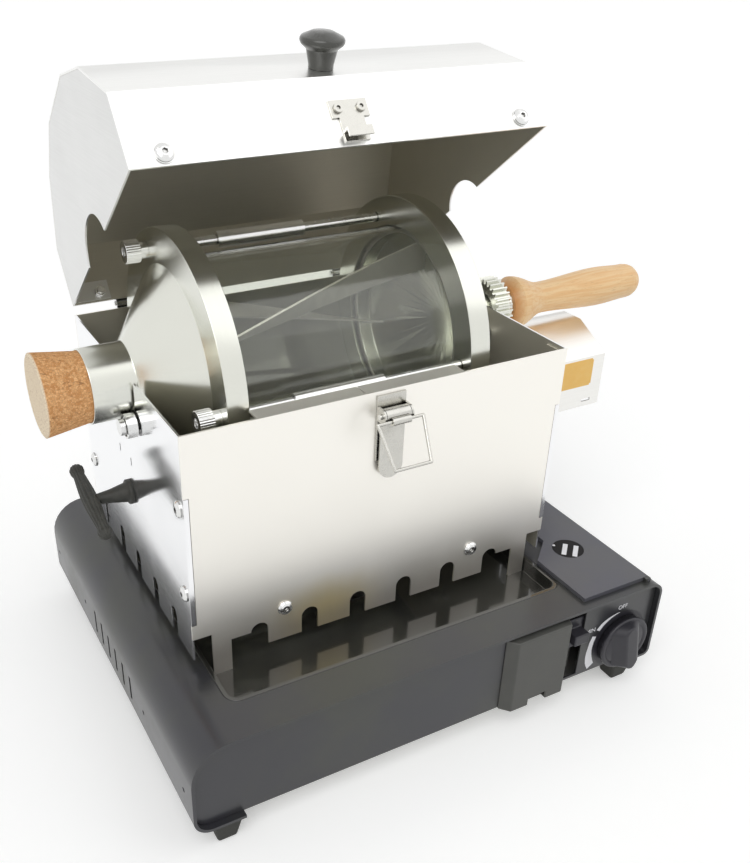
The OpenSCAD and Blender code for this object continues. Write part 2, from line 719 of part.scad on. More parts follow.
// A front or back plate with its outer face at y, folded inwards in the direction of s
module end_plate(y, s) {
    y0 = min(y, y + s * sheet);
    y1 = max(y, y + s * sheet);
    fold = y + s * sheet;
    difference() {
        slab(box_x0, box_x1, y0, y1, pan_floor, box_top);
        skirt_cuts(y0 - past, y1 + past);
        for (x = [box_x0 - past, box_x1 - wrap - fit])
            slab(x, x + wrap + fit + past, y0 - past, y1 + past, wrap_z0, wrap_z1);
        for (x = [box_cx - front_screw_dx, box_cx + front_screw_dx])
            rod_y(screw_r + bore_fit, y0 - past, y1 + past, x, front_screw_z);
    }
    for (x = [box_x0 + sheet, box_x1 - 2 * sheet]) difference() {
        slab(x, x + sheet, min(fold, y + s * corner_flange), max(fold, y + s * corner_flange),
            corner_z, box_top - 3);
        for (z = plate_screw_z)
            rod_x(screw_r + bore_fit, x - past, x + sheet + past, y + s * plate_screw_in, z);
    }
}

module front_plate() color("whitesmoke") placed() {
    end_plate(box_front, 1);
    for (x = [[top_lip_x0, top_lip_slit - 0.4], [top_lip_slit + 0.4, top_lip_x1]])
        slab(x[0], x[1], box_front + sheet, box_front + top_lip, box_top - sheet, box_top);
}

module back_plate() color("whitesmoke") placed() end_plate(box_back, -1);

// A side plate with its outer face at x, folded in the direction of s
module side_plate(x, s) {
    x0 = min(x, x + s * sheet);
    x1 = max(x, x + s * sheet);
    difference() {
        union() {
            slab(x0, x1, box_front + sheet, box_back - sheet, side_skirt_z, box_top);
            slab(x0, x1, box_front, box_back, wrap_z0 + fit, wrap_z1 - fit);
            for (y = [box_front, box_back - sheet])
                slab(min(x, x + s * wrap), max(x, x + s * wrap), y, y + sheet, wrap_z0 + fit, wrap_z1 - fit);
        }
        for (i = [0:side_slot_count - 1]) {
            y = (box_front + box_back) / 2 + side_slot_shift + (i - (side_slot_count - 1) / 2) * side_slot_pitch;
            slab(x0 - past, x1 + past, y - side_slot_w / 2, y + side_slot_w / 2, side_skirt_z - past,
                side_slot_top - side_slot_w / 2);
            rod_x(side_slot_w / 2, x0 - past, x1 + past, y, side_slot_top - side_slot_w / 2);
        }
        for (y = [box_front + plate_screw_in, box_back - plate_screw_in], z = plate_screw_z)
            rod_x(screw_r + bore_fit, x0 - past, x1 + past, y, z);
    }
}

// An upright notch for a neck or hub of radius r, open at the plate's top
module drum_notch(r, x0, x1) {
    rod_x(r, x0, x1, axis_y, axis_z);
    slab(x0, x1, axis_y - r, axis_y + r, axis_z, box_top + past);
}

module axle_holes(run, r, x0, x1)
    for (a = roller_dir) rod_x(r, x0, x1, axis_y + run * cos(a), axis_z + run * sin(a));

module left_plate() color("gainsboro") placed() difference() {
    side_plate(box_x0, 1);
    drum_notch(neck_notch_r, box_x0 - past, box_x0 + sheet + past);
    axle_holes(left_roller_run, axle_d / 2 + bore_fit, box_x0 - past, box_x0 + sheet + past);
    rod_x(screw_r + bore_fit, box_x0 - past, box_x0 + sheet + past, bar_y, bar_z);
    for (y = [90.2, 111.4])
        slab(box_x0 - past, box_x0 + sheet + past, box_front + y, box_front + y + 1.5,
            stove_top + 91.5, stove_top + 97);
}

module right_plate() color("gainsboro") placed() difference() {
    x0 = box_x1 - sheet - past;
    x1 = box_x1 + past;
    side_plate(box_x1, -1);
    drum_notch(hub_notch_r, x0, x1);
    axle_holes(right_roller_run, axle_d / 2 + bore_fit, x0, x1);
    for (p = standoff_places) rod_x(screw_r + bore_fit, x0, x1, axis_y + p[0], gearbox_z + p[1]);
    for (s = [-1, 1])
        rod_x(screw_r + bore_fit, x0, x1, axis_y + s * (cover_w / 2 + cover_tab / 2), cover_tab_z);
}

module box_screws() color("silver") placed() {
    for (y = [box_front + plate_screw_in, box_back - plate_screw_in], z = plate_screw_z) {
        translate([box_x0, y, z]) screw(2 * sheet);
        translate([box_x1, y, z]) rotate([0, 0, 180]) screw(2 * sheet);
    }
    for (x = [box_cx - front_screw_dx, box_cx + front_screw_dx]) {
        translate([x, box_front, front_screw_z]) rotate([0, 0, 90]) screw(sheet);
        translate([x, box_back, front_screw_z]) rotate([0, 0, -90]) screw(sheet);
    }
    for (s = [-1, 1])
        translate([box_x1 + cover_t, axis_y + s * (cover_w / 2 + cover_tab / 2), cover_tab_z])
            rotate([0, 0, 180]) screw(cover_t + sheet);
    for (p = standoff_places)
        translate([box_x1 - sheet, axis_y + p[0], gearbox_z + p[1]]) {
            screw_head();
            rod_x(screw_r, 0, sheet + 8, 0, 0);
        }
    translate([box_x0 + sheet, bar_y, bar_z]) rotate([0, 0, 180]) {
        screw_head();
        rod_x(screw_r, 0, sheet + 8, 0, 0);
    }
}

// ---------------------------------------------------------------- hinges and latch

module hinge_lower_leaves() color("silver") placed()
    for (c = [box_cx - hinge_dx, box_cx + hinge_dx]) difference() {
        union() {
            slab(c - hinge_half, c + hinge_half, box_back, box_back + sheet, box_top - 30, hinge_z - 2);
            slab(c - hinge_half, c + hinge_half, box_back, hinge_y, hinge_z - 3.2, hinge_z - 2);
            for (s = [-1, 1]) {
                outer = c + s * hinge_half;
                inner = c + s * (knuckle_half + 0.2);
                rod_x(knuckle_r, min(outer, inner), max(outer, inner), hinge_y, hinge_z);
            }
        }
        rod_x(knuckle_r + fit, c - knuckle_half - 0.2, c + knuckle_half + 0.2, hinge_y, hinge_z);
        rod_x(hinge_pin_r + bore_fit, c - hinge_half - past, c + hinge_half + past, hinge_y, hinge_z);
    }

module hinge_upper_leaves() color("silver") placed() opened()
    for (c = [box_cx - hinge_dx, box_cx + hinge_dx]) difference() {
        union() {
            slab(c - hinge_half, c + hinge_half, box_back, box_back + sheet, hinge_z + 2, hinge_z + 30);
            slab(c - hinge_half, c + hinge_half, box_back, hinge_y, hinge_z + 2, hinge_z + 3.2);
            rod_x(knuckle_r, c - knuckle_half, c + knuckle_half, hinge_y, hinge_z);
        }
        for (s = [-1, 1]) {
            outer = c + s * (hinge_half + past);
            inner = c + s * knuckle_half;
            rod_x(knuckle_r + fit, min(outer, inner), max(outer, inner), hinge_y, hinge_z);
        }
        rod_x(hinge_pin_r + bore_fit, c - hinge_half - past, c + hinge_half + past, hinge_y, hinge_z);
    }

module steel_pins() color("silver") placed() {
    for (c = [box_cx - hinge_dx, box_cx + hinge_dx])
        rod_x(hinge_pin_r, c - hinge_half - 1, c + hinge_half + 1, hinge_y, hinge_z);
    rod_x(latch_pin_r, latch_x - latch_half - 1.5, latch_x + latch_half + 1.5, latch_pin_y, latch_pin_z);
}

module latch_base() color("silver") placed() {
    face = box_front - sheet;
    slab(latch_x - latch_half, latch_x + latch_half, face, box_front, latch_pin_z - 31, box_top - 2.5);
    for (x = [latch_x - latch_half, latch_x + latch_half - sheet]) difference() {
        union() {
            rod_x(ear_r, x, x + sheet, latch_pin_y, latch_pin_z);
            slab(x, x + sheet, latch_pin_y, face, latch_pin_z - ear_r, latch_pin_z + ear_r);
        }
        rod_x(latch_pin_r + bore_fit, x - past, x + sheet + past, latch_pin_y, latch_pin_z);
    }
}

module latch_lever() color("silver") placed() {
    half = latch_half - sheet - fit;
    plate_y = latch_pin_y + 2.4;
    difference() {
        union() {
            slab(latch_x - half, latch_x + half, plate_y, plate_y + sheet, latch_tip_z + half,
                latch_pin_z + 1);
            rod_y(half, plate_y, plate_y + sheet, latch_x, latch_tip_z + half);
            rod_x(ear_r, latch_x - half, latch_x + half, latch_pin_y, latch_pin_z);
            rod_x(2.4, latch_x - 6, latch_x + 6, bail_y, bail_z);
        }
        rod_x(latch_pin_r + bore_fit, latch_x - half - past, latch_x + half + past, latch_pin_y, latch_pin_z);
        rod_x(bail_wire_r + 0.15, latch_x - half, latch_x + half, bail_y, bail_z);
    }
}

// A wire loop: its top bar turns in the lever, and its sides draw in downwards
module latch_bail() color("silver") placed()
    translate([latch_x, bail_y, bail_z]) rotate([-bail_tilt, 0, 0]) {
        rod_x(bail_wire_r, -bail_top_half, bail_top_half, 0, 0);
        rod_x(bail_wire_r, -bail_low_half, bail_low_half, 0, -bail_drop);
        for (s = [-1, 1]) {
            lean = atan2(bail_top_half - bail_low_half, bail_drop);
            translate([s * bail_top_half, 0, 0]) rotate([0, s * lean + 180, 0])
                cylinder(r = bail_wire_r, h = norm([bail_drop, bail_top_half - bail_low_half]));
            translate([s * bail_top_half, 0, 0]) sphere(r = bail_wire_r);
            translate([s * bail_low_half, 0, -bail_drop]) sphere(r = bail_wire_r);
        }
    }

// ---------------------------------------------------------------- rollers and handle

// A ball-bearing roller from x on, with a shallow groove between its rings on both faces
module roller(x, run, a) translate([x, axis_y + run * cos(a), axis_z + run * sin(a)]) difference() {
    rod_x(roller_r, 0, roller_w, 0, 0);
    rod_x(axle_d / 2 + 0.05, -past, roller_w + past, 0, 0);
    for (x = [-past, roller_w - 0.5]) difference() {
        rod_x(roller_r - 1.4, x, x + past + 0.5, 0, 0);
        rod_x(axle_d / 2 + 1.4, x - past, x + 2 * past + 1, 0, 0);
    }
}

module left_roller(a) color("silver") placed() roller(left_roller_x0, left_roller_run, a);
module right_roller(a) color("silver") placed() roller(right_roller_x0, right_roller_run, a);
module left_front_roller() left_roller(roller_dir[0]);
module left_rear_roller() left_roller(roller_dir[1]);
module right_front_roller() right_roller(roller_dir[0]);
module right_rear_roller() right_roller(roller_dir[1]);

module roller_axles() color("gray") placed() for (a = roller_dir) {
    head_h = 3;
    head_r = axle_d / 2 + 2.5;
    translate([0, axis_y + left_roller_run * cos(a), axis_z + left_roller_run * sin(a)]) {
        rod_x(axle_d / 2, left_roller_x0 - fit - head_h, box_x0 + sheet + 1 + head_h, 0, 0);
        rod_x(head_r, left_roller_x0 - fit - head_h, left_roller_x0 - fit, 0, 0);
        rod_x(axle_d / 2 + 1.2, left_roller_x0 + roller_w + 0.2, box_x0, 0, 0);
        translate([box_x0 + sheet, 0, 0]) rotate([0, 90, 0]) cylinder(r = head_r, h = head_h, $fn = 6);
    }
    translate([0, axis_y + right_roller_run * cos(a), axis_z + right_roller_run * sin(a)]) {
        rod_x(axle_d / 2, right_roller_x0 - fit - head_h, box_x1 + head_h, 0, 0);
        rod_x(head_r, right_roller_x0 - fit - head_h, right_roller_x0 - fit, 0, 0);
        rod_x(axle_d / 2 + 1.2, right_roller_x0 + roller_w + 0.2, box_x1 - sheet, 0, 0);
        rod_x(head_r, box_x1, box_x1 + head_h, 0, 0);
    }
}

module side_handle() color("black") placed() difference() {
    union() {
        turned([[0, bar_x], [3, bar_x], [6, box_x0 - 5], [6.4, box_x0 - 3], [8, box_x0 - 2.6],
            [8, box_x0], [0, box_x0]], bar_y, bar_z);
        translate([bar_x, bar_y, bar_z]) rotate([bar_tilt - 90, 0, 0]) translate([0, 0, -bar_l / 2])
            rotate_extrude() polygon([[0, 0], [3.4, 0.8], [4.8, 4], [3.8, 8], [bar_r, bar_l / 2 - 5],
                [bar_r, bar_l / 2 + 5], [3.8, bar_l - 8], [4.8, bar_l - 4], [3.4, bar_l - 0.8], [0, bar_l]]);
    }
    rod_x(screw_r, box_x0 - 8, box_x0 + past, bar_y, bar_z);
}

// ---------------------------------------------------------------- motor

cover_path = [[axis_y - cover_w / 2, cover_z0], [axis_y - cover_w / 2, cover_shoulder_z],
    [axis_y - cover_top_half, cover_top_z], [axis_y + cover_top_half, cover_top_z],
    [axis_y + cover_w / 2, cover_shoulder_z], [axis_y + cover_w / 2, cover_z0]];

module motor_cover() color("whitesmoke") placed() {
    difference() {
        along_x(cover_path, box_x1, cover_x1);
        along_x(concat([[axis_y - cover_w / 2 + cover_t, cover_z0 - past]], inside(cover_path, cover_t),
            [[axis_y + cover_w / 2 - cover_t, cover_z0 - past]]), box_x1 - past, cover_x1 - cover_t);
        slab(box_x1 - past, gear_x1 + 1.5, axis_y - 13, axis_y + 13, pinion_z - 2, cover_top_z + past);
        slab(cover_x1 - 16, cover_x1 - 8, axis_y - cover_w, axis_y, cover_z0 + 4, cover_z0 + 6);
        slab(cover_x1 - 3, cover_x1 + past, switch_y - 5.5, switch_y + 5.5, switch_z - 9.5, switch_z + 9.5);
        rod_x(5.6, cover_x1 - 3, cover_x1 + past, inlet_y, inlet_z);
    }
    for (s = [-1, 1]) {
        y0 = axis_y + s * cover_w / 2;
        y1 = y0 + s * cover_tab;
        difference() {
            slab(box_x1, box_x1 + cover_t, min(y0, y1), max(y0, y1), cover_tab_z - 7, cover_tab_z + 7);
            rod_x(screw_r + bore_fit, box_x1 - past, box_x1 + 2 * past, (y0 + y1) / 2, cover_tab_z);
        }
    }
}

module gear_motor() color("darkgray") placed() difference() {
    union() {
        rod_x(gearbox_r, gearbox_x0, gearbox_x0 + gearbox_l, axis_y, gearbox_z);
        slab(gearbox_x0, gearbox_x0 + gearbox_l, axis_y - boss_r, axis_y + boss_r, gearbox_z, pinion_z);
        rod_x(boss_r, gearbox_x0, gearbox_x0 + gearbox_l, axis_y, pinion_z);
        rod_x(can_r, gearbox_x0 + gearbox_l, gearbox_x0 + gearbox_l + can_l, axis_y, gearbox_z);
        rod_x(5, gearbox_x0 + gearbox_l + can_l, gearbox_x0 + gearbox_l + can_l + 2, axis_y, gearbox_z);
    }
    rod_x(shaft_r + bore_fit, gearbox_x0 - past, gearbox_x0 + 12, axis_y, pinion_z);
}

module motor_standoffs() color("silver") placed() for (p = standoff_places) difference() {
    rod_x(standoff_r, box_x1, gearbox_x0, axis_y + p[0], gearbox_z + p[1]);
    rod_x(screw_r, box_x1 - past, box_x1 + 8, axis_y + p[0], gearbox_z + p[1]);
}

module motor_shaft() color("silver") placed()
    rod_x(shaft_r, gear_x0 - 1, gearbox_x0 + 11.5, axis_y, pinion_z);

module pinion() color("gold") placed() translate([gear_x0 + 0.5, axis_y, pinion_z])
    rotate([90, 0, 90]) difference() {
        linear_extrude(gear_w - 1) rotate([0, 0, 180 / pinion_teeth])
            polygon(teeth(pinion_teeth, gear_module));
        translate([0, 0, -past]) cylinder(r = shaft_r + 0.05, h = gear_w + 2 * past);
    }

module switch_body() color("black") placed() translate([cover_x1, switch_y, switch_z]) difference() {
    union() {
        slab(0, 1.5, -7, 7, -11, 11);
        slab(-14, 0, -5.2, 5.2, -9.2, 9.2);
    }
    slab(-4.5, 1.5 + past, -4.3, 4.3, -8.3, 8.3);
    rod_y(1.1, -5.2 - past, 5.2 + past, 0, 0);
}

// The rocker pivots on two small pins; at rest its upper half stands out
module rocker_switch() color("black") placed() translate([cover_x1, switch_y, switch_z]) {
    along_y([[-2.2, -4], [-2.2, 4], [1, 7.4], [3.6, 7], [1.6, 0], [1, -6.8], [-0.6, -7.4]], -4, 4);
    rod_y(1, -5, 5, 0, 0);
}

module power_inlet() color("black") placed() translate([cover_x1, inlet_y, inlet_z]) difference() {
    union() {
        rod_x(5.4, -12, 0, 0, 0);
        rod_x(7, 0, 2, 0, 0);
    }
    difference() {
        rod_x(3, -9, 2 + past, 0, 0);
        rod_x(1, -9 - past, 1, 0, 0);
    }
}

// ---------------------------------------------------------------- drum

module rod_holes(x0, x1) for (a = rod_angles)
    rod_x(rod_d / 2 + bore_fit, x0, x1, axis_y + rod_circle_r * cos(a), axis_z + rod_circle_r * sin(a));

module drum_cone() color("silver") placed() difference() {
    turned([[neck_r - neck_wall_t, neck_x], [neck_r, neck_x], [neck_r, cone_x], [cone_r, left_flange_x],
        [flange_r, left_flange_x], [flange_r, glass_x0], [glass_r + fit, glass_x0],
        [glass_r + fit, glass_x0 - glass_seat], [drum_bore, glass_x0 - glass_seat],
        [drum_bore, left_flange_x], [neck_r - neck_wall_t, cone_x + 1]], axis_y, axis_z);
    rod_holes(left_flange_x - past, glass_x0 + past);
}

module end_cap() color("silver") placed() difference() {
    cap_x = right_flange_x1 + hub_cone_l;
    turned([[0, cap_x - 2], [hub_r, cap_x - 2], [drum_bore, right_flange_x1 - 1],
        [drum_bore, glass_x1 + glass_seat], [glass_r + fit, glass_x1 + glass_seat], [glass_r + fit, glass_x1],
        [flange_r, glass_x1], [flange_r, right_flange_x1], [cone_r, right_flange_x1], [hub_r + 2, cap_x],
        [hub_r, cap_x], [hub_r, hub_end], [gear_seat_r, hub_end], [gear_seat_r, gear_x1],
        [shank_r, gear_x1], [shank_r, cap_x + 6], [0, cap_x + 6]], axis_y, axis_z);
    rod_holes(glass_x1 - past, right_flange_x1 + past);
}

module glass_tube() color("lightslategray") placed() {
    x0 = glass_x0 - glass_seat + seal_t;
    x1 = glass_x1 + glass_seat - seal_t;
    turned([[glass_r - glass_t, x0], [glass_r, x0], [glass_r, x1], [glass_r - glass_t, x1]], axis_y, axis_z);
}

module glass_seals() color("white") placed()
    for (x = [glass_x0 - glass_seat, glass_x1 + glass_seat - seal_t])
        turned([[drum_bore, x], [glass_r, x], [glass_r, x + seal_t], [drum_bore, x + seal_t]],
            axis_y, axis_z);

// Long screws: hexagon heads at the driven end, thumb nuts at the filling end
module tie_rods() color("silver") placed() for (a = rod_angles)
    translate([0, axis_y + rod_circle_r * cos(a), axis_z + rod_circle_r * sin(a)]) {
        rod_x(rod_d / 2, left_flange_x - nut_collar_l - nut_head_l + 2, right_flange_x1 + rod_head_h, 0, 0);
        translate([right_flange_x1, 0, 0]) rotate([0, 90, 0]) cylinder(r = rod_d, h = rod_head_h, $fn = 6);
    }

module rod_sleeves() color("gainsboro") placed() for (a = rod_angles) difference() {
    y = axis_y + rod_circle_r * cos(a);
    z = axis_z + rod_circle_r * sin(a);
    rod_x(sleeve_r, sleeve_x0, sleeve_x1, y, z);
    rod_x(rod_d / 2 + bore_fit, sleeve_x0 - past, sleeve_x1 + past, y, z);
}

module thumb_nuts() color("gainsboro") placed() for (a = rod_angles)
    translate([left_flange_x, axis_y + rod_circle_r * cos(a), axis_z + rod_circle_r * sin(a)]) difference() {
        union() {
            rod_x(nut_collar_r, -nut_collar_l, 0, 0, 0);
            along_x([for (i = [0:59]) let (r = nut_head_r - (i % 2) * 0.4)
                [r * cos(i * 6), r * sin(i * 6)]], -nut_collar_l - nut_head_l, -nut_collar_l);
        }
        rod_x(rod_d / 2 + 0.05, -nut_collar_l - nut_head_l - past, past, 0, 0);
    }

// Strips that wind along the glass and lift the beans
module mixing_vanes() color("gray") placed() translate([left_flange_x + 1, axis_y, axis_z])
    rotate([0, 90, 0]) for (i = [0:vane_count - 1]) rotate([0, 0, i * 360 / vane_count])
        linear_extrude(right_flange_x1 - left_flange_x - 3, twist = 50, slices = 16, segments = 4)
            translate([drum_bore - 0.1 - vane_h, 0]) square([vane_h, 1.2]);

module drum_gear() color("silver") placed() translate([gear_x0, axis_y, axis_z]) rotate([90, 0, 90])
    difference() {
        linear_extrude(gear_w) polygon(teeth(gear_teeth, gear_module));
        translate([0, 0, -past]) cylinder(r = gear_seat_r + 0.05, h = gear_w + 2 * past);
    }

module handle_shank() color("silver") placed() {
    x0 = right_flange_x1 + hub_cone_l + 6;
    turned([[0, x0], [shank_r, x0], [shank_r, gear_x1], [ferrule_r, gear_x1], [ferrule_r, ferrule_x1],
        [shank_r, ferrule_x1], [shank_r, wood_x0 + wood_l * 0.7], [0, wood_x0 + wood_l * 0.7]],
        axis_y, axis_z);
}

// Radius of the wooden handle at the share t of its length: a flare, a waist and a belly
function eased(a, b, t) = a + (b - a) * (1 - cos(180 * t)) / 2;
function wood_radius(t) = t < 0.05 ? eased(wood_r * 0.75, wood_r, t / 0.05)
    : t < 0.25 ? eased(wood_r, wood_r * 0.6, (t - 0.05) / 0.2)
    : t < 0.68 ? eased(wood_r * 0.6, wood_r * 0.75, (t - 0.25) / 0.43)
    : t < 0.9 ? eased(wood_r * 0.75, wood_r * 0.68, (t - 0.68) / 0.22)
    : wood_r * 0.68 * sqrt(max(0, 1 - pow((t - 0.9) / 0.1, 2)));

module wood_handle() color("burlywood") placed() difference() {
    steps = 40;
    turned(concat([[0, wood_x0]],
        [for (i = [0:steps]) [wood_radius(i / steps), wood_x0 + wood_l * i / steps]]), axis_y, axis_z);
    rod_x(shank_r, wood_x0 - past, wood_x0 + wood_l * 0.7, axis_y, axis_z);
}

module cork_stopper() color("peru") placed() {
    end = neck_x + cork_in;
    turned([[0, cork_x0], [cork_r - 1, cork_x0], [cork_r, cork_x0 + 1],
        [cork_r - cork_taper * (end - cork_x0), end], [0, end]], axis_y, axis_z);
}

// ---------------------------------------------------------------- lid

module lid_screw_holes(y0, y1) for (x = lid_screw_x) rod_y(screw_r + bore_fit, y0, y1, x, lid_screw_z);

module lid_hood() color("whitesmoke") placed() opened() difference() {
    along_x(lid_profile, box_x0, box_x1);
    along_x(concat([[box_front + sheet, lid_rim - past]], inside(lid_profile, sheet),
        [[box_back - sheet, lid_rim - past]]), box_x0 - past, box_x1 + past);
    lid_screw_holes(box_front - past, box_back + past);
    translate([lid_knob_x, lid_knob_y, lid_knob_z]) rotate([facet_angle, 0, 0])
        translate([0, 0, -4]) cylinder(r = 2.6, h = 8);
}

// An end of the lid with its outer face at x, its tabs reaching in the direction of s
module lid_end(x, s) {
    tab_x = x + s * lid_tab;
    along_x(inside(lid_profile, sheet), min(x, x + s * sheet), max(x, x + s * sheet));
    for (y = [box_front + sheet, box_back - 2 * sheet])
        slab(min(x, tab_x), max(x, tab_x), y, y + sheet, lid_rim + 1, lid_rim + 14);
}

module lid_left_end() color("silver") placed() opened() difference() {
    lid_end(box_x0, 1);
    rod_x(lid_neck_notch_r, box_x0 - past, box_x0 + sheet + past, axis_y, axis_z);
    lid_screw_holes(box_front - past, box_back + past);
}

module lid_right_end() color("silver") placed() opened() difference() {
    lid_end(box_x1, -1);
    rod_x(lid_hub_notch_r, box_x1 - sheet - past, box_x1 + past, axis_y, axis_z);
    lid_screw_holes(box_front - past, box_back + past);
}

module lid_screws() color("silver") placed() opened() {
    for (x = lid_screw_x, side = [[box_front, 90], [box_back, -90]])
        translate([x, side[0], lid_screw_z]) rotate([0, 0, side[1]]) {
            rod_x(washer_r, -washer_t, 0, 0, 0);
            translate([-washer_t, 0, 0]) screw(2 * sheet + washer_t);
        }
    translate([lid_knob_x, lid_knob_y, lid_knob_z]) rotate([facet_angle, 0, 0]) {
        translate([0, 0, -sheet - 2.5]) cylinder(r = 4, h = 2.5);
        translate([0, 0, -sheet - 1]) cylinder(r = 2.5, h = sheet + 1 + lid_knob_h / 2);
    }
}

module lid_knob() color("black") placed() opened()
    translate([lid_knob_x, lid_knob_y, lid_knob_z]) rotate([facet_angle, 0, 0]) difference() {
        cap_r = lid_knob_d / 2;
        rotate_extrude() polygon(concat([[0, 0], [cap_r * 0.56, 0], [cap_r * 0.56, 2], [cap_r * 0.7, 10],
            [cap_r * 0.94, 12.5]], arc(cap_r - 2.5, 14.5, 2.5, -30, 60),
            [[cap_r * 0.5, lid_knob_h - 0.6], [0, lid_knob_h]]));
        translate([0, 0, -past]) cylinder(r = 2.5, h = lid_knob_h / 2 + past);
    }

module lid_catch() color("silver") placed() opened() {
    face = box_front - sheet;
    slab(latch_x - 7.5, latch_x + 7.5, face, box_front, lid_rim + 2.5, lid_rim + 16);
    slab(latch_x - 11.5, latch_x + 11.5, face, box_front, lid_rim + 16, lid_rim + 26);
    slab(latch_x - 7.5, latch_x + 7.5, face - 4, face, lid_rim + 7, lid_rim + 8.2);
    slab(latch_x - 7.5, latch_x + 7.5, face - 5.2, face - 4, lid_rim + 3, lid_rim + 8.2);
    for (x = [latch_x - 7, latch_x + 7]) difference() {
        rod_y(2.6, face - 1.6, face, x, lid_rim + 21);
        rod_y(1.2, face - 1.6 - past, face - 0.8, x, lid_rim + 21);
    }
}

stove_shell();
base_pan();
front_panel();
stove_feet();
drip_pan();
burner_head();
burner_cap();
igniter();
mixing_tube();
gas_valve();
bay_divider();
lever_surround();
cartridge_lever();
control_knob();
knob_spindle();
cartridge_lid();
lid_window();
front_plate();
back_plate();
left_plate();
right_plate();
box_screws();
hinge_lower_leaves();
steel_pins();
latch_base();
latch_lever();
latch_bail();
roller_axles();
left_front_roller();
left_rear_roller();
right_front_roller();
right_rear_roller();
side_handle();
motor_cover();
gear_motor();
motor_standoffs();
motor_shaft();
pinion();
rocker_switch();
switch_body();
power_inlet();
drum_cone();
end_cap();
glass_tube();
glass_seals();
tie_rods();
rod_sleeves();
thumb_nuts();
mixing_vanes();
drum_gear();
handle_shank();
wood_handle();
cork_stopper();
lid_hood();
lid_left_end();
lid_right_end();
lid_screws();
lid_knob();
lid_catch();
hinge_upper_leaves();
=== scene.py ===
"""Looks of a home coffee bean roaster: a glass drum in a stainless steel box on a portable gas stove."""

import json
import math

import bmesh
import bpy
from mathutils import Matrix, Vector, noise

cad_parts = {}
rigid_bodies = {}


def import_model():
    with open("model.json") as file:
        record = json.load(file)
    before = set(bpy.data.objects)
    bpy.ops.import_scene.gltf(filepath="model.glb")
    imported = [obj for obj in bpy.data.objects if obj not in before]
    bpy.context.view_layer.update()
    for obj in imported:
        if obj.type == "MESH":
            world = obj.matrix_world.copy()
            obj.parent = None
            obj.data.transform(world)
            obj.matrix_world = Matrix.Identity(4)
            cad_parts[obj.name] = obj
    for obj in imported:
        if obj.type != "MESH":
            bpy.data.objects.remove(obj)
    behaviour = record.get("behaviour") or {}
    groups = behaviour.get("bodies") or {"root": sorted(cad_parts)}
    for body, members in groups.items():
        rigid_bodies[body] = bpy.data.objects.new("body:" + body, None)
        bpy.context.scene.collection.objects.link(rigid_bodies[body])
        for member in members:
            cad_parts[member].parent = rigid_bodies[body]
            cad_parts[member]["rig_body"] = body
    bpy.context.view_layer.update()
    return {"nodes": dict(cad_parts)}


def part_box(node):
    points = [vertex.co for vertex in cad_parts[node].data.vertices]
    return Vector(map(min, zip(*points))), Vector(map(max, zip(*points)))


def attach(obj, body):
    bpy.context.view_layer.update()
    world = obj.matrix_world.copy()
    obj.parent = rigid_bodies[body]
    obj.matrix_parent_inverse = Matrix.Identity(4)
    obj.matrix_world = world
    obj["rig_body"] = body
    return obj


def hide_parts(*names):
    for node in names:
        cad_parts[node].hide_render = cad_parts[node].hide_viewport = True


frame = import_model()
MM = 0.001

# ---------------------------------------------------------------- camera
# Stands to the front left of the roaster and looks down at it, where the photograph was taken.
# Its angles, place and focal length were solved from straight edges of the stove and the box.

YAW, PITCH, ROLL = math.radians(28.41), math.radians(30.41), math.radians(0.72)
CAMERA_AT = Vector((-321.03, -491.03, 470.95)) * MM
FOCAL_PX, LONG_SIDE_PX, SENSOR = 975.15, 863, 36.0
SHIFT = (0.0628, 0.0477)
forward = Vector((math.sin(YAW) * math.cos(PITCH), math.cos(YAW) * math.cos(PITCH), -math.sin(PITCH)))
level_right = Vector((math.cos(YAW), -math.sin(YAW), 0))
level_up = level_right.cross(forward)
view_right = math.cos(ROLL) * level_right + math.sin(ROLL) * level_up
view_up = math.cos(ROLL) * level_up - math.sin(ROLL) * level_right

lens = bpy.data.cameras.new("camera")
lens.sensor_width = SENSOR
lens.lens = FOCAL_PX * SENSOR / LONG_SIDE_PX
lens.shift_x, lens.shift_y = SHIFT
lens.clip_start, lens.clip_end = 0.01, 40
camera = bpy.data.objects.new("camera", lens)
bpy.context.scene.collection.objects.link(camera)
camera.matrix_world = (Matrix.Translation(CAMERA_AT)
    @ Matrix((view_right, view_up, -forward)).transposed().to_4x4())
bpy.context.scene.camera = camera


# ---------------------------------------------------------------- floor and light
# A pale studio sheet, a soft far lamp high at the front left, and a weaker one from the right.
# Steel and glass mirror a white room, and the floor keeps the stove's shadow.

class Field:
    """A shader socket that sums and products of Python turn into Math nodes."""

    def __init__(self, shading, socket):
        self.shading, self.socket = shading, socket

    def math(self, operation, *values):
        return self.shading.node("ShaderNodeMath", {"operation": operation}, values)

    def __add__(self, other):
        return self.math("ADD", self, other)

    def __radd__(self, other):
        return self.math("ADD", other, self)

    def __sub__(self, other):
        return self.math("SUBTRACT", self, other)

    def __rsub__(self, other):
        return self.math("SUBTRACT", other, self)

    def __mul__(self, other):
        return self.math("MULTIPLY", self, other)

    def __rmul__(self, other):
        return self.math("MULTIPLY", other, self)

    def __pow__(self, other):
        return self.math("POWER", self, other)

    def or_else(self, other):
        """The larger of the two: 1 where either mask is 1."""
        return self.math("MAXIMUM", self, other)

    def between(self, low, high):
        """0 below low, 1 above high, and a smooth step from one to the other."""
        return self.shading.node("ShaderNodeMapRange", {"interpolation_type": "SMOOTHSTEP"},
            {"Value": self, "From Min": low, "From Max": high})


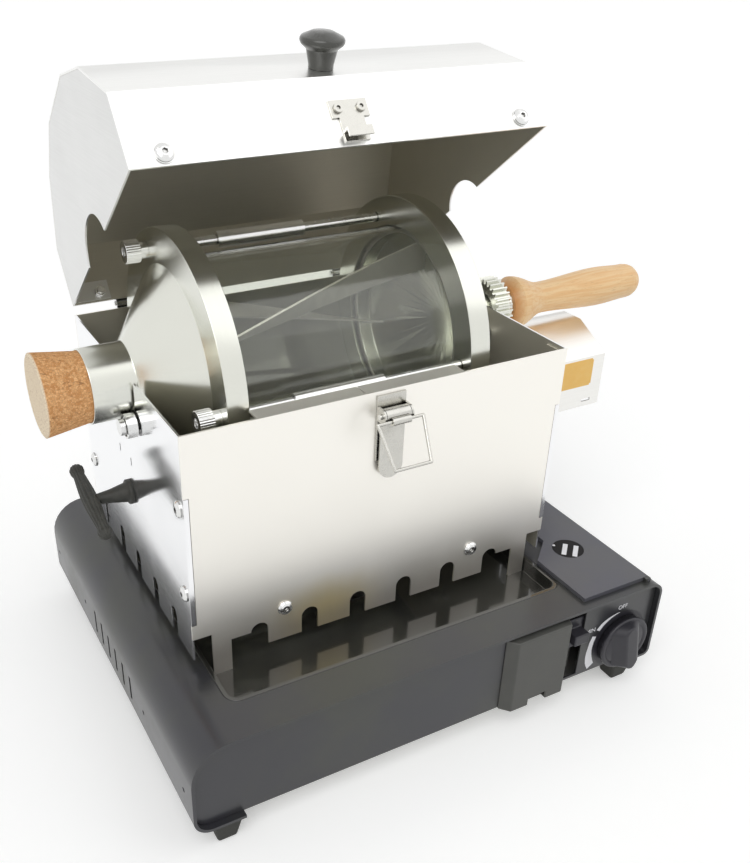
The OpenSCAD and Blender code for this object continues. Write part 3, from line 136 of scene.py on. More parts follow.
class Shading:
    """The nodes of a material or of the world. The sockets of its shader take plain values,
    or fields where they vary."""

    def __init__(self, owner, shader):
        owner.use_nodes = True
        self.tree = owner.node_tree
        self.shader = self.tree.nodes[shader]

    def node(self, kind, settings=None, inputs=(), out=0):
        """One of a node's outputs, as a field. Its settings are made before its inputs are fed."""
        made = self.tree.nodes.new(kind)
        for key, value in (settings or {}).items():
            setattr(made, key, value)
        for key, value in (inputs.items() if isinstance(inputs, dict) else enumerate(inputs)):
            self.feed(made.inputs[key], value)
        return Field(self, made.outputs[out])

    def feed(self, socket, value):
        if isinstance(value, Field):
            self.tree.links.new(value.socket, socket)
        elif socket.type == "RGBA":
            socket.default_value = (*value, 1)
        else:
            socket.default_value = value

    def put(self, **sockets):
        for key, value in sockets.items():
            self.feed(self.shader.inputs[key.replace("_", " ")], value)

    def shown(self):
        """1 for rays that show this to the camera, straight, mirrored or through glass."""
        seen, mirrored, through = [self.node("ShaderNodeLightPath", out=ray)
            for ray in ("Is Camera Ray", "Is Glossy Ray", "Is Transmission Ray")]
        return seen.or_else(mirrored).or_else(through)


class Finish(Shading):
    """A material, whose patterns lie in the roaster's own frame, in metres."""

    def __init__(self, name, **sockets):
        self.material = bpy.data.materials.new(name)
        super().__init__(self.material, "Principled BSDF")
        self.put(**sockets)

    def place(self):
        """The point of the surface, which keeps to its piece when the piece moves."""
        return self.node("ShaderNodeTexCoord", out="Object")

    def axes(self):
        split = self.node("ShaderNodeSeparateXYZ", inputs=[self.place()]).socket.node
        return [Field(self, socket) for socket in split.outputs]

    def stretched(self, x, y, z):
        """The point with each part multiplied: the larger the number, the finer the grain."""
        return self.node("ShaderNodeVectorMath", {"operation": "MULTIPLY"}, [self.place(), (x, y, z)])

    def grain(self, vector, scale, detail=3.0, rough=0.55):
        """Noise about 0.5 with scale lumps a metre and some layers of finer detail."""
        return self.node("ShaderNodeTexNoise", {}, {"Vector": vector, "Scale": scale, "Detail": detail,
            "Roughness": rough})

    def tint(self, mask, plain, other):
        """The colour plain where mask is 0 and the colour other where it is 1."""
        return self.node("ShaderNodeMix", {"data_type": "RGBA"}, {0: mask, 6: plain, 7: other}, out=2)

    def bumped(self, height, depth, strength=1.0):
        self.put(Normal=self.node("ShaderNodeBump", {},
            {"Strength": strength, "Distance": depth, "Height": height}))


FLOOR_HALF, FLOOR_GLOW = 9.0, 0.28
floor_mesh = bpy.data.meshes.new("floor")
floor_corners = [(x * FLOOR_HALF, y * FLOOR_HALF, 0) for x, y in ((-1, -1), (1, -1), (1, 1), (-1, 1))]
floor_mesh.from_pydata(floor_corners, [], [(0, 1, 2, 3)])
floor = bpy.data.objects.new("floor", floor_mesh)
bpy.context.scene.collection.objects.link(floor)
studio_sheet = Finish("studio_sheet", Base_Color=(0.9, 0.9, 0.89), Roughness=0.9, Specular_IOR_Level=0.1)
studio_sheet.put(Emission_Color=(1, 1, 0.99), Emission_Strength=studio_sheet.shown() * FLOOR_GLOW)
floor_mesh.materials.append(studio_sheet.material)

world = bpy.data.worlds.new("studio")
bpy.context.scene.world = world
room = Shading(world, "Background")
room.put(Color=(0.97, 0.98, 1), Strength=0.5)
dim_wall = Field(room, room.shader.outputs[0])
white_wall = room.node("ShaderNodeBackground", {}, {"Color": (1, 1, 1), "Strength": 1.0})
walls = room.node("ShaderNodeMixShader", {}, [room.shown(), dim_wall, white_wall])
room.feed(room.tree.nodes["World Output"].inputs["Surface"], walls)


def lamp(name, towards, strength, softness):
    """A far lamp, equally strong everywhere, whose light falls in the direction towards."""
    light = bpy.data.lights.new(name, "SUN")
    light.energy, light.angle = strength, softness
    made = bpy.data.objects.new(name, light)
    bpy.context.scene.collection.objects.link(made)
    made.rotation_euler = Vector(towards).to_track_quat("-Z", "Y").to_euler()


lamp("window_lamp", (0.5, 0.6, -1.0), 1.0, 0.8)
lamp("fill_lamp", (-0.8, 0.4, -0.8), 0.35, 1.0)
bpy.context.scene.view_settings.view_transform = "Standard"


# ---------------------------------------------------------------- stove casing
# The portable stove: a pressed sheet casing in dark grey baked enamel with a faint blue cast,
# open at the front where a flat panel sits behind its rim, on square rubber feet.

SAME_POINT = 1e-6
FLAT_ANGLE, SHARP_ANGLE = math.radians(0.4), math.radians(35)


def shaped(name, form, *finishes):
    """A piece of this name from a worked mesh, in these finishes."""
    mesh = bpy.data.meshes.new(name)
    form.to_mesh(mesh)
    form.free()
    for finish in finishes:
        mesh.materials.append(finish.material)
    piece = bpy.data.objects.new(name, mesh)
    bpy.context.scene.collection.objects.link(piece)
    return piece


def eased(node, width, finish, segments=2, inner=None, facing=None):
    """The CAD node's own shape with its sharp edges rounded by width. Faces for which the
    function facing is true take the inner finish."""
    source = frame["nodes"][node]
    sheet = bmesh.new()
    sheet.from_mesh(source.data)
    bmesh.ops.remove_doubles(sheet, verts=sheet.verts, dist=SAME_POINT)
    bmesh.ops.dissolve_limit(sheet, angle_limit=FLAT_ANGLE, verts=sheet.verts, edges=sheet.edges)
    for face in sheet.faces:
        face.smooth = True
        face.material_index = 1 if inner and facing(face) else 0
    piece = shaped(node + "_skin", sheet, *([finish, inner] if inner else [finish]))
    round_edges(piece, width, segments)
    settle(piece, node)


def round_edges(piece, width, segments):
    """Rounds the edges that are sharper than a fold of the sheet."""
    rounding = piece.modifiers.new("rounding", "BEVEL")
    rounding.width, rounding.segments = width, segments
    rounding.limit_method, rounding.angle_limit = "ANGLE", SHARP_ANGLE
    flats = piece.modifiers.new("flats", "WEIGHTED_NORMAL")
    flats.keep_sharp = True


def join(piece, node):
    """The piece belongs to this node: it rides on the node's body."""
    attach(piece, frame["nodes"][node]["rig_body"])


def settle(piece, node):
    """The piece stands for this node."""
    join(piece, node)
    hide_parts(node)


def coat(finish, *nodes):
    """Paints CAD nodes, whose own shape stays."""
    for node in nodes:
        mesh = frame["nodes"][node].data
        mesh.materials.clear()
        mesh.materials.append(finish.material)


def baked_enamel(name, colour, dusty, gloss, fleck=0.9):
    """Sprayed and baked enamel: fine orange peel, cloudy wiping marks and a little dust."""
    enamel = Finish(name, Coat_Weight=0.25, Coat_Roughness=0.2, Specular_IOR_Level=0.5)
    cloud = enamel.grain(enamel.place(), 14, 4, 0.6).between(0.35, 0.75)
    speck = enamel.grain(enamel.place(), 900, 2, 0.5).between(0.62, 0.75)
    enamel.put(Base_Color=enamel.tint(cloud * 0.75 + speck * 0.12 * fleck, colour, dusty),
        Roughness=gloss + cloud * 0.12)
    enamel.bumped(enamel.grain(enamel.place(), 1400, 2, 0.5), 0.03 * MM, 0.5)
    return enamel


stove_enamel = baked_enamel("stove_enamel", (0.026, 0.026, 0.032), (0.046, 0.048, 0.036), 0.30)
raw_sheet = Finish("raw_sheet", Metallic=1.0, Base_Color=(0.42, 0.42, 0.40))
zinc = raw_sheet.grain(raw_sheet.place(), 120, 3).between(0.3, 0.7)
raw_sheet.put(Roughness=0.38 + zinc * 0.2)
foot_rubber = Finish("foot_rubber", Base_Color=(0.05, 0.05, 0.045), Specular_IOR_Level=0.3)
foot_rubber.put(Roughness=0.62 + foot_rubber.grain(foot_rubber.place(), 300) * 0.25)
foot_rubber.bumped(foot_rubber.grain(foot_rubber.place(), 2500), 0.04 * MM, 0.6)

eased("stove_shell", 0.7 * MM, stove_enamel)
eased("front_panel", 0.5 * MM, stove_enamel)
eased("stove_feet", 1.6 * MM, foot_rubber, 3)
coat(raw_sheet, "base_pan", "bay_divider", "mixing_tube")


# ---------------------------------------------------------------- drip pan and burner
# A pressed pan in glossy black enamel hangs in the stove's top, and the gas burner stands up
# through its middle: a cast head, a brass cap and the igniter's white insulator.

pan_enamel = baked_enamel("pan_enamel", (0.018, 0.018, 0.016), (0.045, 0.044, 0.038), 0.14, 0.5)
pan_enamel.put(Coat_Weight=0.8, Coat_Roughness=0.06)
cast_metal = Finish("cast_metal", Metallic=1.0, Base_Color=(0.5, 0.5, 0.48))
cast_metal.put(Roughness=0.48 + cast_metal.grain(cast_metal.place(), 700) * 0.2)
cast_metal.bumped(cast_metal.grain(cast_metal.place(), 1600), 0.08 * MM, 0.7)
brass = Finish("brass", Metallic=1.0)
brass_age = brass.grain(brass.place(), 90, 4).between(0.35, 0.7)
brass.put(Base_Color=brass.tint(brass_age, (0.62, 0.44, 0.17), (0.34, 0.24, 0.12)),
    Roughness=0.3 + brass_age * 0.2)
insulator = Finish("insulator", Base_Color=(0.8, 0.78, 0.73), Roughness=0.25, Coat_Weight=0.5)
insulator.bumped(insulator.grain(insulator.place(), 900), 0.03 * MM, 0.4)

eased("drip_pan", 1.2 * MM, pan_enamel, 3)
coat(cast_metal, "burner_head", "gas_valve")
coat(brass, "burner_cap", "pinion")
coat(insulator, "igniter")


# ---------------------------------------------------------------- gas controls
# The black moulded control knob: a disc with a groove, and a grip that narrows towards its front.
# The dial is printed round it on the panel, and the cartridge lever has a raised surround.

def moulded(name, colour, gloss):
    """Moulded plastic with a fine spark-eroded grain and finger marks."""
    plastic = Finish(name, Specular_IOR_Level=0.45)
    touched = plastic.grain(plastic.place(), 60, 3).between(0.35, 0.7)
    plastic.put(Base_Color=plastic.tint(touched * 0.5, colour, tuple(c * 1.35 + 0.004 for c in colour)),
        Roughness=gloss + touched * 0.1)
    plastic.bumped(plastic.grain(plastic.place(), 1100, 2), 0.04 * MM, 0.6)
    return plastic


knob_black = moulded("knob_black", (0.026, 0.025, 0.031), 0.34)
surround_grey = moulded("surround_grey", (0.075, 0.075, 0.068), 0.46)
print_white = Finish("print_white", Base_Color=(0.8, 0.8, 0.82), Specular_IOR_Level=0.3)
print_white.put(Roughness=0.5 + print_white.grain(print_white.place(), 900) * 0.2)


def in_mm(points):
    return [(a * MM, b * MM) for a, b in points]


def turned(name, outline, finish, flutes=0, flute_depth=0.0, steps=96):
    """A turned solid about Z from points of radius and height, with hollows along it."""
    body = bmesh.new()
    rings = []
    for radius, height in outline:
        ring = []
        for step in range(steps):
            a = 2 * math.pi * step / steps
            out = radius * (1 - flute_depth * (0.5 - 0.5 * math.cos(flutes * a)) if flutes else 1)
            ring.append(body.verts.new((out * math.cos(a), out * math.sin(a), height)))
        rings.append(ring)
    for a, b in zip(rings, rings[1:]):
        for step in range(steps):
            body.faces.new((a[step - 1], a[step], b[step], b[step - 1]))
    body.faces.new(list(reversed(rings[0])))
    body.faces.new(rings[-1])
    bmesh.ops.recalc_face_normals(body, faces=body.faces)
    for face in body.faces:
        face.smooth = len(face.verts) == 4
    return shaped(name, body, finish)


control_low, control_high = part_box("control_knob")
at_control = (Matrix.Translation(((control_low.x + control_high.x) / 2, control_high.y,
    (control_low.z + control_high.z) / 2)) @ Matrix.Rotation(math.pi / 2, 4, "X"))
control_disc = turned("control_knob_disc", in_mm(((0.02, 0.0), (19.0, 0.0), (19.0, 3.4), (19.5, 3.6),
    (20.0, 4.1), (20.0, 4.9), (19.7, 5.6), (19.0, 6.0), (17.0, 6.0), (16.4, 5.5), (15.6, 5.5), (15.0, 6.0),
    (0.02, 6.0))), knob_black)
GRIP_R, GRIP_BASE_T, GRIP_FRONT_T, GRIP_FROM = 18.8 * MM, 26 * MM, 9.5 * MM, 5 * MM
GRIP_LEAN, GRIP_END_STEPS = math.radians(10.5), 10
half_end = math.asin(GRIP_BASE_T / 2 / GRIP_R)
grip = bmesh.new()
grip_outline = []
for middle in (math.pi / 2, -math.pi / 2):
    for step in range(GRIP_END_STEPS + 1):
        a = middle + half_end * (2 * step / GRIP_END_STEPS - 1)
        grip_outline.append(grip.verts.new((GRIP_R * math.cos(a), GRIP_R * math.sin(a), GRIP_FROM)))
raised = bmesh.ops.extrude_face_region(grip, geom=[grip.faces.new(grip_outline)])["geom"]
grip_front = [part for part in raised if isinstance(part, bmesh.types.BMVert)]
bmesh.ops.translate(grip, vec=(0, 0, control_high.y - control_low.y - GRIP_FROM), verts=grip_front)
bmesh.ops.scale(grip, vec=(GRIP_FRONT_T / GRIP_BASE_T, 1, 1), verts=grip_front)
bmesh.ops.rotate(grip, cent=(0, 0, 0), matrix=Matrix.Rotation(GRIP_LEAN, 3, "Z"), verts=grip.verts)
bmesh.ops.recalc_face_normals(grip, faces=grip.faces)
for face in grip.faces:
    face.smooth = True
control_grip = shaped("control_knob_grip", grip, knob_black)
round_edges(control_grip, 1.3 * MM, 3)
for part in (control_disc, control_grip):
    part.data.transform(at_control)
settle(control_grip, "control_knob")
join(control_disc, "control_knob")
eased("cartridge_lever", 1.0 * MM, knob_black, 3)
eased("lever_surround", 1.0 * MM, surround_grey, 3)

panel_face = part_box("front_panel")[0].y
spindle_low, spindle_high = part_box("knob_spindle")
dial_x, dial_z = (spindle_low.x + spindle_high.x) / 2, (spindle_low.z + spindle_high.z) / 2
INK = 0.12 * MM


def on_stove(piece):
    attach(piece, "stove")


def printed(name, rings, finish):
    """A closed strip of ink on the panel between rings of pairs: (inner point, outer point)."""
    ink = bmesh.new()
    rows = [[ink.verts.new((x, panel_face - depth, z)) for (x, z) in pair for depth in (0, INK)]
        for pair in rings]
    for a, b in zip(rows, rows[1:]):
        for i, j in ((0, 1), (1, 3), (3, 2), (2, 0)):
            ink.faces.new((a[i], a[j], b[j], b[i]))
    for end in (rows[0], rows[-1]):
        ink.faces.new((end[0], end[1], end[3], end[2]))
    bmesh.ops.recalc_face_normals(ink, faces=ink.faces)
    on_stove(shaped(name, ink, finish))


def on_dial(radius, degrees):
    a = math.radians(degrees)
    return dial_x + radius * math.cos(a) * MM, dial_z + radius * math.sin(a) * MM


# The white crescent round the knob: its inner and outer radius at some angles from the right
CRESCENT = ((98, 23.0, 23.3), (110, 23.0, 24.0), (135, 23.0, 26.0), (180, 23.2, 27.2), (205, 23.6, 29.8),
    (221, 24.6, 30.6))
LOW_MARK = 152
sweep = []
for (a, inner_a, outer_a), (b, inner_b, outer_b) in zip(CRESCENT, CRESCENT[1:]):
    for share in (0, 0.25, 0.5, 0.75):
        at = a + (b - a) * share
        sweep.append((on_dial(inner_a + (inner_b - inner_a) * share, at),
            on_dial(outer_a + (outer_b - outer_a) * share, at)))
split = next(i for i, pair in enumerate(sweep) if pair[0][0] < on_dial(CRESCENT[0][1], LOW_MARK)[0])
printed("dial_crescent_low", sweep[:split], print_white)
printed("dial_crescent_high", sweep[split:], print_white)
# The black ring behind the knob, open at the bottom, where the panel ends
RING_IN, RING_OUT, RING_FROM, RING_TO = 18.5, 22.4, -58, 238
printed("dial_ring", [(on_dial(RING_IN, at), on_dial(RING_OUT, at))
    for at in range(RING_FROM, RING_TO + 1, 4)], knob_black)
LETTER_TALL = 4.6 * MM
for word, at, radius in (("OFF", 93, 27.0), ("MIN", 150, 31.5)):
    text = bpy.data.curves.new("dial_" + word.lower(), "FONT")
    text.body, text.size, text.extrude = word, LETTER_TALL, INK / 2
    text.align_x, text.align_y = "CENTER", "CENTER"
    letters = bpy.data.objects.new("dial_" + word.lower(), text)
    bpy.context.scene.collection.objects.link(letters)
    x, z = on_dial(radius, at)
    letters.matrix_world = (Matrix.Translation((x, panel_face - INK / 2, z))
        @ Matrix.Rotation(math.pi / 2, 4, "X"))
    text.materials.append(print_white.material)
    on_stove(letters)


# ---------------------------------------------------------------- cartridge lid
# The pressed lid over the gas cartridge, in a greyer enamel than the stove's, with a round dark
# window on which two pale bars and a dot show.

lid_enamel = baked_enamel("lid_enamel", (0.075, 0.075, 0.095), (0.10, 0.10, 0.10), 0.40)
window_black = Finish("window_black", Base_Color=(0.008, 0.007, 0.008), Specular_IOR_Level=0.12)
window_black.put(Roughness=0.3 + window_black.grain(window_black.place(), 200) * 0.1)
eased("cartridge_lid", 0.8 * MM, lid_enamel, 3)
coat(window_black, "lid_window")

low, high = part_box("lid_window")
window_middle = (low + high) / 2
BAR_LONG, BAR_WIDE, BAR_T, BAR_ROUND = 13.5 * MM, 3.3 * MM, 0.2 * MM, 0.08 * MM
BAR_APART, BAR_TURN, BARS_IN_FRONT = 7.4 * MM, math.radians(45), 2.2 * MM
marks = []
for side, name in ((-1, "window_bar_left"), (1, "window_bar_right")):
    bar = bmesh.new()
    bmesh.ops.create_cube(bar, size=1)
    bmesh.ops.scale(bar, vec=(BAR_LONG, BAR_WIDE, BAR_T), verts=bar.verts)
    bmesh.ops.bevel(bar, geom=bar.edges, offset=BAR_ROUND, segments=2, affect="EDGES")
    bmesh.ops.translate(bar, vec=(0, side * BAR_APART / 2, 0), verts=bar.verts)
    bmesh.ops.rotate(bar, cent=(0, 0, 0), matrix=Matrix.Rotation(BAR_TURN, 3, "Z"), verts=bar.verts)
    bmesh.ops.translate(bar, verts=bar.verts,
        vec=(window_middle.x, window_middle.y - BARS_IN_FRONT, high.z + BAR_ROUND))
    marks.append(shaped(name, bar, print_white))
DOT_LEFT, DOT_BACK = 6.2 * MM, 7.7 * MM
dot = turned("window_dot", in_mm(((0.02, 0.0), (1.0, 0.0), (1.0, 0.12), (0.9, 0.2), (0.02, 0.2))),
    print_white, steps=24)
dot.data.transform(Matrix.Translation((window_middle.x - DOT_LEFT, window_middle.y + DOT_BACK, high.z)))
for mark in marks + [dot]:
    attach(mark, "bay_lid")


# ---------------------------------------------------------------- roaster box
# Four plates of stainless sheet, cut and folded, screwed together at the corners. The brushing
# runs level, the metal is smoky and straw-coloured above the air slots, and darker on its inner faces.

def brushed(name, colour, lines, gloss):
    """Brushed steel. lines says how closely the strokes lie along x, y and z, in strokes a metre."""
    steel = Finish(name, Metallic=1.0)
    fine = steel.grain(steel.stretched(*lines), 1, 4, 0.7)
    hand = steel.grain(steel.place(), 22, 3).between(0.3, 0.75)
    steel.put(Base_Color=steel.tint(fine.between(0.25, 0.8) * 0.5 + hand * 0.2, colour,
        tuple(c * 0.90 for c in colour)), Roughness=gloss + fine * 0.12 + hand * 0.05)
    steel.bumped(fine, 0.006 * MM, 0.4)
    return steel


LEVEL_X, LEVEL_Y = (25, 1800, 1800), (1800, 25, 1800)
box_low, box_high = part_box("front_plate")
PLAIN_STEEL = (0.98, 0.955, 0.895)
front_steel = brushed("front_steel", PLAIN_STEEL, LEVEL_X, 0.30)
front_steel.put(Metallic=0.85)
# Marks of the heat fade out above the air slots, at a level that wanders along the plate.
SLOTS_UP, WANDERS, SMOKY_UP = 13 * MM, 16 * MM, 30 * MM
BURNT_FROM, BURNT_TO, STRAW_FROM, STRAW_TO = -8 * MM, 9 * MM, 4 * MM, 34 * MM
PATCH_FROM_LEFT, PATCH_HALF = 88 * MM, 50 * MM
across, _, up = front_steel.axes()
level = up + front_steel.grain(front_steel.stretched(1, 1, 0.35), 28, 3) * WANDERS
slots_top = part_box("left_plate")[0].z + SLOTS_UP
haze = 1 - level.between(slots_top, slots_top + SMOKY_UP)
burnt = 1 - level.between(slots_top + BURNT_FROM, slots_top + BURNT_TO)
patch_x = box_low.x + PATCH_FROM_LEFT
yellow = (1 - level.between(slots_top + STRAW_FROM, slots_top + STRAW_TO)) * (
    across.between(patch_x - PATCH_HALF, patch_x) * (1 - across.between(patch_x, patch_x + PATCH_HALF)))
hazy = front_steel.tint(haze * 0.35, PLAIN_STEEL, (0.56, 0.52, 0.43))
straw = front_steel.tint(yellow * 0.75, hazy, (0.90, 0.74, 0.36))
front_steel.put(Base_Color=front_steel.tint(burnt * 0.45, straw, (0.34, 0.30, 0.26)))
side_steel = brushed("side_steel", (0.94, 0.945, 0.96), LEVEL_Y, 0.06)
# A darker steel for the faces that look in.
inner_steel = brushed("inner_face_steel", (0.58, 0.55, 0.46), LEVEL_X, 0.42)
inner_steel.put(Metallic=0.55)


def plated(name, colour, gloss):
    """Bright plated steel: scuffed, with painted shade that darkens its corners and sockets."""
    metal = Finish(name, Metallic=1.0)
    scuffed = metal.grain(metal.place(), 260, 4).between(0.35, 0.75)
    # Ambient occlusion darkens the colour in corners and sockets: this is painted shade.
    painted_crevice_shade = 1 - metal.node("ShaderNodeAmbientOcclusion", {"samples": 16}, {"Distance": 2.5 * MM},
        out=1).between(0.35, 0.8)
    metal.put(Base_Color=metal.tint(painted_crevice_shade * 0.85, colour, (0.09, 0.085, 0.075)),
        Roughness=gloss + scuffed * 0.16)
    metal.bumped(metal.grain(metal.place(), 1500), 0.02 * MM, 0.4)
    return metal


hardware = plated("hardware_steel", (0.78, 0.78, 0.77), 0.14)
# The latch and its catch take a darker copy of the plated hardware steel: painted shade, so that their
# shape reads.
shade_darkened_latch_steel = plated("shade_darkened_latch_steel", (0.60, 0.59, 0.55), 0.2)

EDGE = 0.25 * MM
box_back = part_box("back_plate")[1].y
box_middle = Vector(((box_low.x + box_high.x) / 2, (box_back + box_low.y) / 2, box_high.z))


def looks_in(face):
    """Whether a face of the box looks towards the drum."""
    inwards = box_middle - face.calc_center_median()
    inwards.z = 0
    return face.normal.dot(inwards.normalized()) > 0.5


for plate, finish in (("front_plate", front_steel), ("back_plate", front_steel),
        ("left_plate", side_steel), ("right_plate", side_steel)):
    eased(plate, EDGE, finish, 2, inner_steel, looks_in)
coat(hardware, "box_screws")


# ---------------------------------------------------------------- hinges and toggle latch
# Bright plated hardware: two butt hinges on the back, and on the front a toggle latch whose
# wire bail hangs outwards from its lever.

# In the darker copy of the plated steel: painted shade.
coat(shade_darkened_latch_steel, "latch_lever", "latch_base", "latch_bail")
coat(hardware, "steel_pins", "hinge_lower_leaves", "hinge_upper_leaves")


# ---------------------------------------------------------------- rollers
# The neck and the hub each turn on two ball bearings of bright steel. Short axles hold the
# bearings on the box's end plates.

coat(hardware, "left_front_roller", "left_rear_roller", "right_front_roller", "right_rear_roller",
    "roller_axles")


# ---------------------------------------------------------------- side handle
# A cast tee handle in black paint: a cone-shaped stem on a round foot, and a fluted grip bar
# that swells in the middle and ends in small knobs.

handle_black = Finish("handle_black", Specular_IOR_Level=0.4)
handle_worn = handle_black.grain(handle_black.place(), 150, 4).between(0.4, 0.75)
handle_black.put(Roughness=0.5 + handle_worn * 0.15,
    Base_Color=handle_black.tint(handle_worn * 0.6, (0.035, 0.035, 0.03), (0.075, 0.074, 0.065)))
handle_black.bumped(handle_black.grain(handle_black.place(), 1300), 0.06 * MM, 0.7)

TEE_LONG, TEE_MIDDLE_R, TEE_TILT = 65.0, 5.3, math.radians(14.3)
TEE_NECK_R, TEE_NECK_AT, TEE_STEPS, FLUTES, FLUTE_DEPTH = 3.8, 8.0, 12, 12, 0.13
handle_low, handle_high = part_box("side_handle")
tee_centre = Vector((handle_low.x + TEE_MIDDLE_R * MM, (handle_low.y + handle_high.y) / 2,
    (handle_low.z + handle_high.z) / 2))
half_tee = [(0.03, 0.0), (2.2, 0.2), (3.4, 0.8), (4.4, 2.2), (4.8, 4.0), (4.5, 5.8),
    (TEE_NECK_R, TEE_NECK_AT)]
for step in range(1, TEE_STEPS + 1):
    share = step / TEE_STEPS
    half_tee.append((TEE_NECK_R + (TEE_MIDDLE_R - TEE_NECK_R) * math.sin(share * math.pi / 2) ** 1.4,
        TEE_NECK_AT + (TEE_LONG / 2 - TEE_NECK_AT) * share))
whole_tee = half_tee + [(radius, TEE_LONG - along) for radius, along in reversed(half_tee[:-1])]
tee = turned("side_handle_grip", in_mm(whole_tee), handle_black, FLUTES, FLUTE_DEPTH)
tee.data.transform(Matrix.Translation(tee_centre) @ Matrix.Rotation(TEE_TILT - math.pi / 2, 4, "X")
    @ Matrix.Translation((0, 0, -TEE_LONG / 2 * MM)))
settle(tee, "side_handle")
stem_long = (handle_high.x - tee_centre.x) / MM
stem = turned("side_handle_stem", in_mm(((0.03, 0.0), (3.0, 0.1), (4.4, stem_long * 0.5),
    (6.0, stem_long - 5.0), (6.4, stem_long - 3.0), (7.6, stem_long - 2.6), (8.0, stem_long - 2.2),
    (8.0, stem_long), (0.03, stem_long))), handle_black)
stem.data.transform(Matrix.Translation(tee_centre) @ Matrix.Rotation(math.pi / 2, 4, "Y"))
join(stem, "side_handle")


# ---------------------------------------------------------------- motor cover
# A folded steel cover over the gear motor, with a plain orange label on its front, a rocker
# switch and a power inlet on its end.

cover_steel = brushed("cover_steel", (0.90, 0.89, 0.86), LEVEL_X, 0.24)
eased("motor_cover", EDGE, cover_steel)
coat(raw_sheet, "gear_motor", "motor_shaft", "knob_spindle")
coat(hardware, "motor_standoffs")
coat(knob_black, "rocker_switch", "switch_body", "power_inlet")

cover_low, cover_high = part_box("motor_cover")
LABEL_WIDE, LABEL_TALL, LABEL_T, LABEL_CORNER_R = 44 * MM, 21 * MM, 0.15 * MM, 1.2 * MM
LABEL_FROM_END, LABEL_UP = 10 * MM, 17 * MM
SCREW_TAB = 12 * MM  # how far the cover's screw tabs stand out in front of it
label_orange = Finish("label_orange", Coat_Weight=0.4, Coat_Roughness=0.2)
rubbed = label_orange.grain(label_orange.place(), 160, 3).between(0.35, 0.75)
label_orange.put(Base_Color=label_orange.tint(rubbed * 0.4, (0.93, 0.55, 0.12), (0.95, 0.64, 0.22)),
    Roughness=0.4 + rubbed * 0.1)
label = bmesh.new()
bmesh.ops.create_cube(label, size=1)
bmesh.ops.scale(label, vec=(LABEL_WIDE, LABEL_T, LABEL_TALL), verts=label.verts)
corners = [edge for edge in label.edges if abs((edge.verts[0].co - edge.verts[1].co).y) > LABEL_T / 2]
bmesh.ops.bevel(label, geom=corners, offset=LABEL_CORNER_R, segments=4, affect="EDGES")
cover_front = cover_low.y + SCREW_TAB
bmesh.ops.translate(label, verts=label.verts, vec=(cover_high.x - LABEL_FROM_END - LABEL_WIDE / 2,
    cover_front - LABEL_T / 2, cover_low.z + LABEL_UP + LABEL_TALL / 2))
sticker = shaped("cover_label", label, label_orange)
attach(sticker, "roaster_box")


# ---------------------------------------------------------------- drum shell
# The drum's turned ends: a cone with the filling neck on the left and a cone-shaped cap with its
# hub on the right, each with a bright thick flange. The lathe's lines run round the axis.

gear_low, gear_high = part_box("drum_gear")
axis_y, axis_z = (gear_low.y + gear_high.y) / 2, (gear_low.z + gear_high.z) / 2


def lathed(name, colour, gloss):
    """Steel brushed round the drum's axis: its strokes vary with distance along and from it."""
    steel = Finish(name, Metallic=1.0)
    x, y, z = steel.axes()
    out = ((y - axis_y) ** 2 + (z - axis_z) ** 2) ** 0.5
    rings = steel.grain(steel.node("ShaderNodeCombineXYZ", inputs=[x * 900, out * 900, 0.0]), 1, 4, 0.7)
    patch = steel.grain(steel.place(), 26, 3).between(0.3, 0.75)
    steel.put(Base_Color=steel.tint(rings * 0.4 + patch * 0.2, colour, tuple(c * 0.92 for c in colour)),
        Roughness=gloss + rings * 0.08)
    steel.bumped(rings, 0.01 * MM, 0.25)
    return steel


drum_steel = lathed("drum_steel", (0.76, 0.765, 0.70), 0.19)
eased("drum_cone", 0.5 * MM, drum_steel)
eased("end_cap", 0.5 * MM, drum_steel)
eased("drum_gear", 0.15 * MM, drum_steel)
coat(drum_steel, "handle_shank")


# ---------------------------------------------------------------- glass and what is in it
# A clear heat-proof glass tube between white seals, faintly scratched. Bent steel vanes wind
# along it and lift the beans.

clear_glass = Finish("clear_glass", Base_Color=(0.94, 0.955, 0.90), Transmission_Weight=0.96, IOR=1.47)
scratches = clear_glass.grain(clear_glass.stretched(14, 500, 500), 1, 3, 0.6).between(0.55, 0.85)
clear_glass.put(Roughness=0.01 + scratches * 0.05)
seal_white = Finish("seal_white", Base_Color=(0.75, 0.73, 0.68))
seal_white.put(Roughness=0.5 + seal_white.grain(seal_white.place(), 300) * 0.2)
vane_steel = brushed("vane_steel", (0.78, 0.76, 0.70), LEVEL_X, 0.38)
vane_steel.put(Metallic=0.6)
coat(clear_glass, "glass_tube")
coat(seal_white, "glass_seals")
coat(vane_steel, "mixing_vanes")


# ---------------------------------------------------------------- tie rods
# Long bright screws clamp the two ends on the glass, with knurled aluminium thumb nuts at the
# filling end and an aluminium sleeve on each rod.

aluminium = Finish("turned_aluminium", Metallic=1.0, Base_Color=(0.87, 0.87, 0.86))
turning = aluminium.grain(aluminium.stretched(2200, 60, 60), 1, 3)
aluminium.put(Roughness=0.18 + turning * 0.08)
aluminium.bumped(turning, 0.01 * MM, 0.3)
coat(hardware, "tie_rods")
coat(aluminium, "rod_sleeves")
eased("thumb_nuts", 0.25 * MM, aluminium)


# ---------------------------------------------------------------- wooden handle
# A turned beech handle on the drum's driven end, oiled, with darker end grain at its rim.

